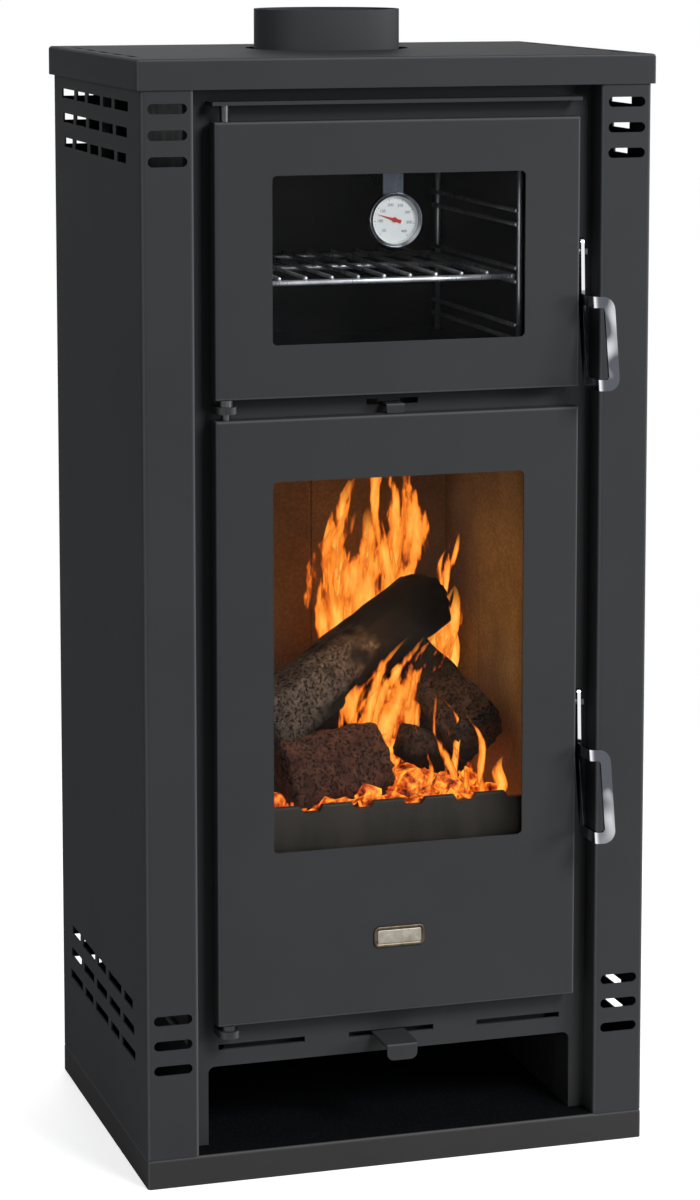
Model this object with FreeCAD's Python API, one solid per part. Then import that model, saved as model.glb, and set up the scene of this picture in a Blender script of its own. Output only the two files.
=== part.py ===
import FreeCAD, Part
import math
import os

os.makedirs("parts", exist_ok=True)
V = FreeCAD.Vector

# A free-standing wood cookstove with an oven over the fire. Lengths in millimetres.
# Frame: +Z up from the floor, front towards -Y, +X to the right seen from the front.

# Shared clearances
overrun = 5.0
fit_gap = 0.3
slide_gap = 0.2
running_gap = 0.05
wire_sides = 8
hex_sides = 6
parallel_share = 0.01

# Casing
body_width = 450.0
body_depth = 333.0
stove_height = 960.0
base_height = 25.5
base_sheet = 2.0
base_bend = 3.0
foot_return = 14.0
casing_sheet = 1.5
casing_bend = 4.0
pillar_width = 45.5
pillar_return = 34.0

# Lid
lid_sheet = 2.0
lid_bend = 3.0
lid_skirt = 25.5
lid_side_overhang = 3.4
lid_front_overhang = 2.3
lid_rear_overhang = 6.8
lid_slot_length = 32.0
lid_slot_width = 5.0
lid_slot_inset = 9.0

# Vent slots of the casing
slot_height = 8.5
slot_row_pitch = 21.8
slot_rows = 3
upper_slots_drop = 15.3
lower_slots_rise = 78.1
pillar_slot_length = 33.6
side_slot_pitch = 51.2
side_slot_margin = 30.0
side_slot_shift = 3.7
side_slot_short = 32.0
side_slot_middle = 40.5
side_slot_long = 49.0
slot_end_share = 0.49

# Rear shield
shield_setback = 20.0
shield_flange = 15.0
shield_slot_margin = 20.0
shield_slot_pitch = 62.0
screw_radius = 2.0
screw_head_radius = 4.0
screw_head_height = 2.5
screw_length = 7.0
screw_height_shares = (0.08, 0.5, 0.92)

# Front frame and wood store
frame_setback = 25.0
frame_sheet = 3.0
store_side_gap = 14.3
store_top = 94.5
store_corner = 6.0
liner_sheet = 2.0
liner_bend = 4.0
opening_corner = 10.0

# Primary air
air_slot_count = 3
air_slot_gap = 39.9
air_row_inset = 9.2
air_slot_height = 4.8
air_slot_level = 111.2
air_tab_width = 29.6
air_tab_centre = -2.7
air_tab_reach = 15.0
air_tab_sheet = 2.0
air_tab_bend = 3.5
air_lip_width = 27.0
air_lip_drop = 14.0
air_lip_corner = 6.0
air_valve_side_gap = 38.0
air_valve_depth = 48.0
air_valve_setback = 10.0
air_port_count = 5
air_port_end = 10.0
air_port_width = 20.0
air_port_depth = 26.0
air_seat_margin = 28.0

# Secondary air
second_slot_length = 46.0
second_slot_height = 5.0
second_tab_width = 16.0
second_tab_centre = -2.0
second_tab_reach = 16.0
second_tab_sheet = 2.0
second_tab_bend = 3.0
second_lip_drop = 8.0
second_plate_width = 100.0
second_plate_height = 20.0
second_port_width = 24.0
second_port_height = 10.0
duct_side_gap = 23.0
duct_depth = 22.0
duct_height = 40.0
duct_sheet = 2.0

# Doors
door_setback = 3.0
door_side_gap = 17.8
door_head = 52.7
door_gap = 17.2
door_sheet = 2.0
door_depth = 15.0
door_bend = 3.0
fire_door_bottom = 136.0
oven_door_height = 232.4
window_side_border = 49.7
window_corner = 4.0
oven_window_border = 45.2
fire_window_sill = 148.1
fire_window_head = 53.2
glass_thickness = 4.0
glass_lap = 10.0
gasket_thickness = 2.0
gasket_edge = 2.0
retainer_sheet = 2.0
retainer_border = 12.0
retainer_lap = 7.0
retainer_screw_radius = 2.5
retainer_screw_head_radius = 4.5
retainer_screw_head_height = 2.5
retainer_screw_shares = (-0.43, 0.0, 0.43)
rope_width = 8.0
rope_edge = 2.5
rope_hinge_clear = 1.0
rope_lip_margin = 0.3
frame_lap = 1.7

# Door hinges
hinge_inset = 10.7
hinge_setback = 10.5
hinge_pin_radius = 4.0
hinge_pin_head_radius = 5.0
hinge_pin_head_height = 3.0
hinge_collar_radius = 7.0
lug_radius = 9.0
lug_thickness = 6.0
lower_lug_drop = 5.0
rail_end = 1.3
rail_thickness = 3.0
rail_rise = 13.7

# Latch levers
lever_sheet = 3.0
lever_gap = 2.2
lever_setback = 11.5
lever_bar_width = 10.0
lever_top_rise = 12.0
lever_drop = 36.0
loop_height = 79.0
loop_lean_deg = 11.5
loop_shift = 2.1
loop_reach = 38.4
loop_width = 19.0
loop_strip = 9.4
loop_corner = 11.0
loop_inner_corner = 3.0
lever_bend = 5.0
hook_under = 5.0
hook_over = 2.0
hook_barb = 3.5
hook_barb_length = 5.2
hook_barb_gap = 1.8
hook_nose = 2.5
hook_slot_width = 8.0
hook_slot_clear = 0.7
hook_slot_drop = 15.5
pivot_radius = 3.0
pivot_head_radius = 4.2
pivot_head_height = 3.0

# Plate on the fire door
badge_width = 46.0
badge_height = 18.5
badge_thickness = 1.6
badge_corner = 5.0
badge_rise = 67.0

# Thermometer in the oven door
dial_drop = 40.5
case_radius = 23.5
case_depth = 9.0
case_wall = 1.2
case_glass_gap = 3.5
bezel_lip = 2.0
bezel_lip_depth = 1.2
lens_thickness = 0.8
dial_thickness = 1.0
dial_setback = 5.0
needle_reach = 16.0
needle_tail = 6.0
needle_width = 1.6
needle_thickness = 0.6
needle_hub_radius = 2.2
needle_angle_deg = 162.0
spindle_radius = 0.8
hanger_width = 18.0
hanger_sheet = 1.2
hanger_tab = 14.0
hanger_below = 15.0
hanger_corner = 6.0

# Welded body
wall_plate = 3.0
wall_inset = 3.7
body_gap_behind = 13.0
body_headroom = 36.0

# Flue
collar_radius = 65.0
collar_wall = 2.5
collar_rise = 35.0
collar_flange = 11.0
collar_flange_thickness = 3.0
flue_rear_gap = 113.0
flue_hole_radius = 73.0

# Fire chamber
hearth_top = 258.0
hearth_thickness = 18.0
hearth_setback = 2.0
grate_side_margin = 53.0
grate_front_margin = 56.0
grate_rear_margin = 4.0
grate_thickness = 12.0
grate_ledge = 8.0
grate_clearance = 1.0
grate_slot_pitch = 17.0
grate_slot_width = 9.0
grate_rim = 12.0
retainer_bar_height = 58.0
retainer_bar_thickness = 6.0
retainer_bar_setback = 4.0
retainer_bar_side_gap = 6.0
retainer_bar_edge = 2.0
retainer_bar_end = 10.3
retainer_tabs = 5
retainer_tab_rise = 6.0
retainer_notch_width = 21.0
retainer_notch_floor = 14.0
brick_thickness = 25.0
brick_drop = 36.0
brick_chamfer = 1.5
brick_front_setback = 34.0
baffle_thickness = 22.0
baffle_setback = 82.0

# Ash pan
pan_side_gap = 40.0
pan_rear_gap = 40.0
pan_height = 46.0
pan_sheet = 1.5
pan_rim = 6.0
pan_corner = 6.0
pan_setback = 24.0
pan_grip_width = 70.0
pan_grip_drop = 16.0
ash_port_width = 18.0
ash_port_margin = 17.5
ash_port_gap = 6.0

# Oven
oven_side_step = 34.7
oven_rear_gap = 8.0
oven_plate = 3.0
oven_corner = 2.0
post_radius = 2.5
rung_radius = 2.0
rung_weld = 1.0
rung_pair_gap = 12.0
rung_pitch = 50.0
rung_pairs = 3
rung_first_rise = 16.0
post_side_gap = 2.5
post_end_gap = 18.0
rack_pair = 1
rack_wire_radius = 2.5
rack_bar_radius = 1.8
rack_weld = 0.6
rack_bars = 9
rack_setback = 22.0
rack_rear_gap = 8.0
rack_cross_share = 0.55

# Places that follow from the sizes
half_width = body_width / 2
pillar_inner = half_width - pillar_width
loop_run = loop_height * math.tan(math.radians(loop_lean_deg))
lever_front = lever_setback - loop_shift + lever_bar_width / 2 - loop_reach - loop_run
front_y = -(body_depth + lid_rear_overhang + lever_front) / 2
rear_y = front_y + body_depth
lid_under = stove_height - lid_sheet
casing_top = lid_under - lid_bend + lid_sheet
skirt_bottom = stove_height - lid_skirt
frame_y0 = front_y + frame_setback
frame_y1 = frame_y0 + frame_sheet
shield_y = rear_y - shield_setback
flue_y = rear_y - flue_rear_gap
side_slot_columns = int((body_depth - side_slot_margin * 2) / side_slot_pitch)
shield_slot_columns = int((pillar_inner - shield_slot_margin) * 2 / shield_slot_pitch)

door_half = pillar_inner - door_side_gap
door_y0 = front_y + door_setback
door_y1 = door_y0 + door_depth
oven_door_top = stove_height - door_head
oven_door_bottom = oven_door_top - oven_door_height
fire_door_top = oven_door_bottom - door_gap
gasket_y = door_y0 + door_sheet
glass_y = gasket_y + gasket_thickness
retainer_y = glass_y + glass_thickness
retainer_back = retainer_y + retainer_sheet
rope_inset = hinge_inset + rope_hinge_clear
door_lip = rope_inset + rope_width + rope_lip_margin
opening_margin = door_lip + frame_lap
hinge_x = -door_half + hinge_inset
hinge_y = front_y + hinge_setback
pivot_y = front_y + lever_setback
lever_x0 = door_half + lever_gap
lever_x1 = lever_x0 + lever_sheet
hook_tip = frame_y1 + hook_barb_gap + hook_barb_length
hook_slot_rise = hook_over + hook_barb + hook_slot_clear

window_half = door_half - window_side_border
fire_window_top = fire_door_top - fire_window_head
fire_window_bottom = fire_door_bottom + fire_window_sill
oven_window_bottom = oven_door_bottom + oven_window_border
oven_window_top = oven_door_top - oven_window_border
fire_pivot_z = (fire_door_bottom + fire_door_top) / 2
oven_pivot_z = (oven_door_bottom + oven_door_top) / 2
fire_opening = (fire_door_bottom + opening_margin, fire_door_top - opening_margin)
oven_opening = (oven_door_bottom + opening_margin, oven_door_top - opening_margin)
rail_z0 = oven_door_top + rail_rise
between_doors = (fire_door_top + oven_door_bottom) / 2

store_half = pillar_inner - store_side_gap
air_row = (store_half - air_row_inset) * 2
air_slot_length = (air_row - air_slot_gap * (air_slot_count - 1)) / air_slot_count
air_slot_pitch = air_slot_length + air_slot_gap
liner_top = store_top + liner_sheet
wall_outer = door_half - wall_inset + wall_plate
wall_inner = wall_outer - wall_plate
body_rear = shield_y - body_gap_behind
body_top = lid_under - body_headroom
body_under = body_top - wall_plate
ash_floor_top = fire_opening[0]
brick_inner = wall_inner - brick_thickness
brick_top = fire_opening[1] - brick_drop
chamber_rear = body_rear - wall_plate
pan_half = wall_inner - pan_side_gap
pan_y0 = frame_y1 + pan_setback
pan_y1 = chamber_rear - pan_rear_gap
oven_half = door_half - oven_side_step
oven_back = chamber_rear - oven_rear_gap - oven_plate


def box(x0, x1, y0, y1, z0, z1):
    """A block between two corners."""
    return Part.makeBox(x1 - x0, y1 - y0, z1 - z0, V(x0, y0, z0))


def rod(radius, start, end):
    """A round bar between two points."""
    run = end - start
    return Part.makeCylinder(radius, run.Length, start, run)


def prism(radius, start, end, sides):
    """A bar with flat sides between two points; radius is measured to its flats."""
    run = end - start
    up = V(1, 0, 0) if run.x == 0 and run.y == 0 else V(0, 0, 1)
    side = run.cross(up).normalize()
    corner = radius / math.cos(math.pi / sides)
    points = []
    for step in range(sides):
        turn = math.pi * (step * 2 + 1) / sides
        points.append(start + side * (corner * math.cos(turn)) + up * (corner * math.sin(turn)))
    return outline_solid(points, run)


def wire(radius, start, end):
    """A stretch of drawn wire or a small shank."""
    return prism(radius, start, end, wire_sides)


def joined(first, *others):
    """One solid from pieces that meet."""
    return first.fuse(list(others)).removeSplitter()


def without(shape, tools):
    """The shape with a list of tools cut away."""
    return shape.cut(Part.makeCompound(tools))


def mirrored(shape):
    """The same shape on the other side of the stove's middle plane."""
    return shape.mirror(V(0, 0, 0), V(1, 0, 0))


def rounded(shape, axis, radius, chosen=None):
    """The shape with its straight edges along one axis rounded; chosen picks edges by their middle."""
    edges = []
    for edge in shape.Edges:
        run = edge.Vertexes[-1].Point - edge.Vertexes[0].Point
        if run.Length == 0 or run.normalize().cross(axis).Length > parallel_share:
            continue
        if chosen is None or chosen(edge.CenterOfMass):
            edges.append(edge)
    return shape.makeFillet(radius, edges)


def slab(half_x, y0, y1, z0, z1, corner):
    """An upright plate, centred on X, with rounded corners."""
    return rounded(box(-half_x, half_x, y0, y1, z0, z1), V(0, 1, 0), corner)


def outline_solid(points, run):
    """A closed outline of straight lines, pushed along a run."""
    return Part.Face(Part.makePolygon(points + points[:1])).extrude(run)


def save(name, *solids):
    """Write one node; several solids stay separate in it."""
    shape = solids[0] if len(solids) == 1 else Part.makeCompound(list(solids))
    shape.exportStep("parts/" + name + ".step")


def folded_tray(x_half, y0, y1, z0, z1, sheet, bend):
    """A sheet folded down on four sides: closed on top, open below."""
    def above(point):
        return point.z > z0

    def round_all(block, radius):
        return block.makeFillet(radius, [e for e in block.Edges if above(e.CenterOfMass)])

    outer = round_all(box(-x_half, x_half, y0, y1, z0, z1), bend)
    inner_half = x_half - sheet
    inner = box(-inner_half, inner_half, y0 + sheet, y1 - sheet, z0, z1 - sheet)
    return outer.cut(round_all(inner, bend - sheet))


def vent_rows():
    """Heights of the vent rows: the upper group from the top, then the lower group from the bottom."""
    upper = [skirt_bottom - upper_slots_drop - slot_row_pitch * row for row in range(slot_rows)]
    lower = [base_height + lower_slots_rise + slot_row_pitch * row for row in range(slot_rows)]
    return upper, lower


# Base tray with its inward foot
def base_tray():
    tray = folded_tray(half_width, front_y, rear_y, 0, base_height, base_sheet, base_bend)
    foot_half = half_width - foot_return
    foot = box(-half_width + base_sheet, half_width - base_sheet,
               front_y + base_sheet, rear_y - base_sheet, 0, base_sheet)
    hole = box(-foot_half, foot_half, front_y + foot_return, rear_y - foot_return,
               -overrun, base_sheet + overrun)
    return joined(tray, foot.cut(hole))


# Side casing: one sheet folded round the front pillar and round the back
def side_panel():
    outer = box(-half_width, -pillar_inner, front_y, rear_y, base_height, casing_top)
    outer = rounded(outer, V(0, 0, 1), casing_bend)
    inner = box(-half_width + casing_sheet, -pillar_inner - casing_sheet,
                front_y + casing_sheet, rear_y - casing_sheet, base_height - overrun, casing_top + overrun)
    inner = rounded(inner, V(0, 0, 1), casing_bend - casing_sheet)
    gap = box(-pillar_inner - casing_sheet - overrun, -pillar_inner + overrun,
              front_y + pillar_return, rear_y - pillar_return, base_height - overrun, casing_top + overrun)
    panel = outer.cut(inner).cut(gap)

    tools = []
    upper, lower = vent_rows()
    middle_x = -half_width + pillar_width / 2
    for level in upper + lower:
        for y in (front_y, rear_y):
            tools.append(pillar_slot(middle_x, y, level))
    middle_y = front_y + body_depth / 2 + side_slot_shift
    for group in (upper, lower):
        for row, level in enumerate(group):
            tools += side_slots(row, level, middle_y)
    tools += [screw_hole(place) for place in screw_places()]
    return without(panel, tools)


def pillar_slot(x, y, level):
    """A slot with round ends through the front or the rear flange of a pillar."""
    depth = casing_sheet + overrun
    slot = box(x - pillar_slot_length / 2, x + pillar_slot_length / 2, y - depth, y + depth,
               level - slot_height / 2, level + slot_height / 2)
    return rounded(slot, V(0, 1, 0), slot_height * slot_end_share)


def side_slots(row, level, middle_y):
    """One row of side slots; long and short ones take turns in the first and the last row."""
    slots = []
    for column in range(side_slot_columns):
        length = side_slot_middle
        if row == 0:
            length = side_slot_short if column % 2 else side_slot_long
        if row == slot_rows - 1:
            length = side_slot_long if column % 2 else side_slot_short
        y = middle_y + (column - (side_slot_columns - 1) / 2) * side_slot_pitch
        slots.append(box(-half_width - overrun, -half_width + casing_sheet + overrun,
                         y - length / 2, y + length / 2, level - slot_height / 2, level + slot_height / 2))
    return slots


# Lid with the flue hole and a row of slots along each side
def top_lid():
    lid = folded_tray(half_width + lid_side_overhang, front_y - lid_front_overhang,
                      rear_y + lid_rear_overhang, skirt_bottom, stove_height, lid_sheet, lid_bend)
    tools = [Part.makeCylinder(flue_hole_radius, lid_sheet + overrun * 2,
                               V(0, flue_y, lid_under - overrun))]
    middle_y = front_y + body_depth / 2 + side_slot_shift
    slot_x = half_width - lid_slot_inset
    for column in range(side_slot_columns):
        y = middle_y + (column - (side_slot_columns - 1) / 2) * side_slot_pitch
        for x in (-slot_x, slot_x):
            tools.append(box(x - lid_slot_width / 2, x + lid_slot_width / 2,
                             y - lid_slot_length / 2, y + lid_slot_length / 2,
                             lid_under - overrun, stove_height + overrun))
    return without(lid, tools)


def screw_places():
    """Middle points of the rear shield's screws on the left side, on the casing's inner return."""
    run = lid_under - base_height
    y = shield_y + casing_sheet + (shield_flange - casing_sheet) / 2
    return [V(-pillar_inner, y, base_height + run * share) for share in screw_height_shares]


def screw_hole(place):
    """The hole of one rear screw, through the return and the shield's flange."""
    return wire(screw_radius, place - V(screw_length, 0, 0), place + V(screw_length, 0, 0))


# Rear shield: a sheet with flanges folded back against the casing's returns
def rear_shield():
    half = pillar_inner - fit_gap
    plate = box(-half, half, shield_y, shield_y + casing_sheet, base_height, lid_under)
    flange = box(-half, -half + casing_sheet, shield_y, shield_y + shield_flange, base_height, lid_under)
    shield = joined(plate, flange, mirrored(flange))
    tools = []
    upper, lower = vent_rows()
    for level in upper + lower:
        for column in range(shield_slot_columns):
            x = (column - (shield_slot_columns - 1) / 2) * shield_slot_pitch
            tools.append(box(x - side_slot_middle / 2, x + side_slot_middle / 2,
                             shield_y - overrun, shield_y + casing_sheet + overrun,
                             level - slot_height / 2, level + slot_height / 2))
    for place in screw_places():
        hole = screw_hole(place)
        tools += [hole, mirrored(hole)]
    return without(shield, tools)


def casing_screws():
    """Hex-head screws, set from the inside of the shield's flanges."""
    screws = []
    head_x = -pillar_inner + fit_gap + casing_sheet
    for place in screw_places():
        seat = V(head_x, place.y, place.z)
        head = prism(screw_head_radius, seat, seat + V(screw_head_height, 0, 0), hex_sides)
        shank = wire(screw_radius, seat, seat - V(screw_length, 0, 0))
        screw = joined(head, shank)
        screws += [screw, mirrored(screw)]
    return screws


def round_bar_cut(radius, x, y, z0, z1):
    """An upright round cutting tool with an overrun at both ends."""
    return Part.makeCylinder(radius, z1 - z0 + overrun * 2, V(x, y, z0 - overrun))


# Front frame plate with every opening behind the doors
def front_frame():
    half = pillar_inner - fit_gap
    plate = box(-half, half, frame_y0, frame_y1, base_height, lid_under)
    y0 = frame_y0 - overrun
    y1 = frame_y1 + overrun
    store = rounded(box(-store_half, store_half, y0, y1, base_height - overrun, store_top),
                    V(0, 1, 0), store_corner, lambda middle: middle.z > base_height)
    fire_half = door_half - opening_margin
    tools = [store,
             slab(fire_half, y0, y1, fire_opening[0], fire_opening[1], opening_corner),
             slab(oven_half, y0, y1, oven_opening[0], oven_opening[1], opening_corner)]
    for column in range(air_slot_count):
        x = (column - (air_slot_count - 1) / 2) * air_slot_pitch
        tools.append(box(x - air_slot_length / 2, x + air_slot_length / 2, y0, y1,
                         air_slot_level - air_slot_height / 2, air_slot_level + air_slot_height / 2))
    tools.append(box(-second_slot_length / 2, second_slot_length / 2, y0, y1,
                     between_doors - second_slot_height / 2, between_doors + second_slot_height / 2))
    hook_x = (lever_x0 + lever_x1) / 2
    for level in (fire_pivot_z, oven_pivot_z):
        tools.append(box(hook_x - hook_slot_width / 2, hook_x + hook_slot_width / 2, y0, y1,
                         level - hook_slot_drop, level + hook_slot_rise))
    return without(plate, tools)


# Hinge rail above the oven door
def top_hinge_rail():
    half = door_half + rail_end
    rail_z1 = rail_z0 + rail_thickness
    rail = box(-half, half, door_y0, frame_y0, rail_z0, rail_z1)
    bore = round_bar_cut(hinge_pin_radius + running_gap, hinge_x, hinge_y, rail_z0, rail_z1)
    return rail.cut(bore)


def hinge_lug(middle):
    """One lug standing forward from the frame, round-nosed about the hinge axis."""
    z0 = middle - lug_thickness / 2
    nose = Part.makeCylinder(lug_radius, lug_thickness, V(hinge_x, hinge_y, z0))
    stem = box(hinge_x - lug_radius, hinge_x + lug_radius, hinge_y, frame_y0, z0, z0 + lug_thickness)
    bore = round_bar_cut(hinge_pin_radius + running_gap, hinge_x, hinge_y, z0, z0 + lug_thickness)
    return joined(nose, stem).cut(bore)


lower_lug_middle = fire_door_bottom - lower_lug_drop - lug_thickness / 2


def hinge_pin(seat, inward, reach, collar):
    """A pin through a door's edge at seat; inward is +1 or -1, the way into the door along Z."""
    up = V(0, 0, inward)
    outside = V(hinge_x, hinge_y, seat)
    inside = outside + up * door_sheet
    head = rod(hinge_pin_head_radius, inside, inside + up * hinge_pin_head_height)
    shank = rod(hinge_pin_radius, inside, outside - up * reach)
    pin = joined(head, shank)
    if collar:
        pin = joined(pin, rod(hinge_collar_radius, outside, outside - up * collar))
    return pin


def oven_hinge_pins():
    gap = oven_door_bottom - between_doors
    lower = hinge_pin(oven_door_bottom, 1, gap - fit_gap, gap - lug_thickness / 2 - running_gap)
    upper = hinge_pin(oven_door_top, -1, rail_rise + rail_thickness, 0)
    return lower, upper


def fire_hinge_pins():
    gap = between_doors - fire_door_top
    lower = hinge_pin(fire_door_bottom, 1, lower_lug_drop + lug_thickness, lower_lug_drop - running_gap)
    upper = hinge_pin(fire_door_top, -1, gap - fit_gap, 0)
    return lower, upper


# Wood store liner: an upside-down U that carries the body
def store_liner():
    half = store_half + liner_sheet
    outer = rounded(box(-half, half, frame_y1, shield_y, base_height, liner_top), V(0, 1, 0), liner_bend,
                    lambda middle: middle.z > base_height)
    inner = rounded(box(-store_half, store_half, frame_y1 - overrun, shield_y + overrun,
                        base_height - overrun, store_top), V(0, 1, 0), liner_bend - liner_sheet,
                    lambda middle: middle.z > base_height)
    return outer.cut(inner)


# Welded body round the fire and the oven
def left_body_wall():
    return box(-wall_outer, -wall_inner, frame_y1, body_rear, liner_top, body_under)


def rear_body_wall():
    return box(-wall_inner, wall_inner, body_rear - wall_plate, body_rear, liner_top, body_under)


def body_top_plate():
    plate = box(-wall_outer, wall_outer, frame_y1, body_rear, body_under, body_top)
    return plate.cut(round_bar_cut(collar_radius - collar_wall, 0, flue_y, body_under, body_top))


def flue_collar():
    top = stove_height + collar_rise
    tube = Part.makeCylinder(collar_radius, top - body_top, V(0, flue_y, body_top))
    flange = Part.makeCylinder(collar_radius + collar_flange, collar_flange_thickness, V(0, flue_y, body_top))
    return joined(tube, flange).cut(round_bar_cut(collar_radius - collar_wall, 0, flue_y, body_top, top))


def ash_floor():
    """Floor under the ash pan, with an air port along each side of the pan."""
    floor = box(-wall_inner, wall_inner, frame_y1, body_rear - wall_plate,
                ash_floor_top - wall_plate, ash_floor_top)
    port_x = pan_half + ash_port_gap
    port = box(port_x, port_x + ash_port_width, pan_y0 + ash_port_margin, pan_y1 - ash_port_margin,
               ash_floor_top - wall_plate - overrun, ash_floor_top + overrun)
    return without(floor, [port, mirrored(port)])


# Ash pan: an open tray with an outward rim and a finger notch in front
def ash_pan():
    z0 = ash_floor_top + slide_gap
    z1 = z0 + pan_height
    outer = rounded(box(-pan_half, pan_half, pan_y0, pan_y1, z0, z1), V(0, 0, 1), pan_corner)
    inner_half = pan_half - pan_sheet
    inner = box(-inner_half, inner_half, pan_y0 + pan_sheet, pan_y1 - pan_sheet,
                z0 + pan_sheet, z1 + overrun)
    inner = rounded(inner, V(0, 0, 1), pan_corner - pan_sheet)
    rim_half = pan_half + pan_rim
    rim = rounded(box(-rim_half, rim_half, pan_y0 - pan_rim, pan_y1 + pan_rim, z1 - pan_sheet, z1),
                  V(0, 0, 1), pan_corner + pan_rim)
    notch = box(-pan_grip_width / 2, pan_grip_width / 2, pan_y0 - pan_rim - overrun,
                pan_y0 + pan_sheet + overrun, z1 - pan_grip_drop, z1 + overrun)
    notch = rounded(notch, V(0, 1, 0), pan_grip_drop / 2, lambda middle: middle.z < z1)
    return joined(outer, rim).cut(inner).cut(notch)


# Primary air: a ported plate that slides on a ported seat, worked by the tab in the middle slot
air_tab_z0 = air_slot_level - air_tab_sheet / 2
air_valve_half = wall_inner - air_valve_side_gap
air_port_pitch = (air_valve_half - air_port_end) * 2 / air_port_count
air_valve_y0 = frame_y1 + air_valve_setback
air_valve_y1 = air_valve_y0 + air_valve_depth


def air_ports(shift):
    """Cutting tools for the row of air ports."""
    ports = []
    middle_y = (air_valve_y0 + air_valve_y1) / 2
    for column in range(air_port_count):
        x = shift + (column - (air_port_count - 1) / 2) * air_port_pitch
        ports.append(box(x - air_port_width / 2, x + air_port_width / 2,
                         middle_y - air_port_depth / 2, middle_y + air_port_depth / 2,
                         liner_top + liner_sheet, air_tab_z0 + air_tab_sheet + overrun))
    return ports


def air_valve_seat():
    half = air_valve_half + air_seat_margin
    top = air_tab_z0 - slide_gap
    outer = box(-half, half, air_valve_y0, air_valve_y1, liner_top, top)
    inner = box(-half - overrun, half + overrun, air_valve_y0 + liner_sheet, air_valve_y1 - liner_sheet,
                liner_top - overrun, top - liner_sheet)
    return without(outer.cut(inner), air_ports(0))


def bent_tab(centre, width, lip_width, front, back, top, drop, sheet, bend, corner):
    """A flat tab with its front end bent down into a lip with round lower corners."""
    lip = box(centre - lip_width / 2, centre + lip_width / 2, front, front + sheet, top - drop, top)
    lip = rounded(lip, V(0, 1, 0), corner, lambda middle: middle.z < top - drop / 2)
    flat = box(centre - width / 2, centre + width / 2, front + bend, back, top - sheet, top)
    neck = box(centre - lip_width / 2, centre + lip_width / 2, front, front + bend, top - sheet, top)
    tab = joined(lip, neck, flat)
    return rounded(tab, V(1, 0, 0), sheet,
                   lambda middle: middle.z > top - sheet / 2 and middle.y < front + sheet / 2)


def primary_air_slider():
    top = air_tab_z0 + air_tab_sheet
    tab = bent_tab(air_tab_centre, air_tab_width, air_lip_width, front_y - air_tab_reach,
                   air_valve_y0, top, air_lip_drop, air_tab_sheet, air_tab_bend, air_lip_corner)
    plate = box(air_tab_centre - air_valve_half, air_tab_centre + air_valve_half,
                air_valve_y0, air_valve_y1, air_tab_z0, top)
    return without(joined(tab, plate), air_ports(air_tab_centre))


# Secondary air: a duct behind the strip between the doors, with its own small slider
def secondary_air_duct():
    half = wall_inner - duct_side_gap
    z0 = between_doors - duct_height / 2
    z1 = between_doors + duct_height / 2
    outer = box(-half, half, frame_y1, frame_y1 + duct_depth, z0, z1)
    inner = box(-half + duct_sheet, half - duct_sheet, frame_y1 - overrun,
                frame_y1 + duct_depth - duct_sheet, z0 - overrun, z1 - duct_sheet)
    return outer.cut(inner)


def secondary_air_slider():
    z0 = between_doors - second_slot_height / 2 + slide_gap
    plate_y = frame_y1 + fit_gap
    tab = bent_tab(second_tab_centre, second_tab_width, second_tab_width, frame_y0 - second_tab_reach,
                   plate_y + second_tab_sheet, z0 + second_tab_sheet, second_lip_drop, second_tab_sheet,
                   second_tab_bend, second_tab_sheet)
    plate = box(second_tab_centre - second_plate_width / 2, second_tab_centre + second_plate_width / 2,
                plate_y, plate_y + second_tab_sheet,
                between_doors - second_plate_height / 2, between_doors + second_plate_height / 2)
    ports = []
    port_shift = (second_tab_width + second_port_width) / 2 + second_tab_sheet
    for side in (-1, 1):
        x = second_tab_centre + side * port_shift
        ports.append(box(x - second_port_width / 2, x + second_port_width / 2,
                         plate_y - overrun, plate_y + second_tab_sheet + overrun,
                         between_doors - second_port_height / 2, between_doors + second_port_height / 2))
    return joined(tab, without(plate, ports))


# Hearth bed with a rebate that carries the grate
hearth_y0 = frame_y1 + hearth_setback
brick_y0 = frame_y1 + brick_front_setback
rear_brick_y0 = chamber_rear - brick_thickness
grate_half = brick_inner - grate_side_margin
grate_y0 = brick_y0 + grate_front_margin
grate_y1 = rear_brick_y0 - grate_rear_margin


def grate_hole(spread, z0, z1):
    """A block over the grate's outline, spread to all sides."""
    half = grate_half + spread
    return box(-half, half, grate_y0 - spread, grate_y1 + spread, z0, z1)


def hearth_bed():
    bed = box(-wall_inner, wall_inner, hearth_y0, chamber_rear, hearth_top - hearth_thickness, hearth_top)
    seat = hearth_top - grate_thickness
    return without(bed, [grate_hole(grate_clearance, seat, hearth_top + overrun),
                         grate_hole(-grate_ledge, hearth_top - hearth_thickness - overrun, seat + overrun)])


def grate():
    plate = grate_hole(0, hearth_top - grate_thickness, hearth_top)
    columns = int((grate_half - grate_rim) * 2 / grate_slot_pitch)
    slots = []
    for column in range(columns):
        x = (column - (columns - 1) / 2) * grate_slot_pitch
        slots.append(box(x - grate_slot_width / 2, x + grate_slot_width / 2,
                         grate_y0 + grate_rim, grate_y1 - grate_rim,
                         hearth_top - grate_thickness - overrun, hearth_top + overrun))
    return without(plate, slots)


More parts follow.
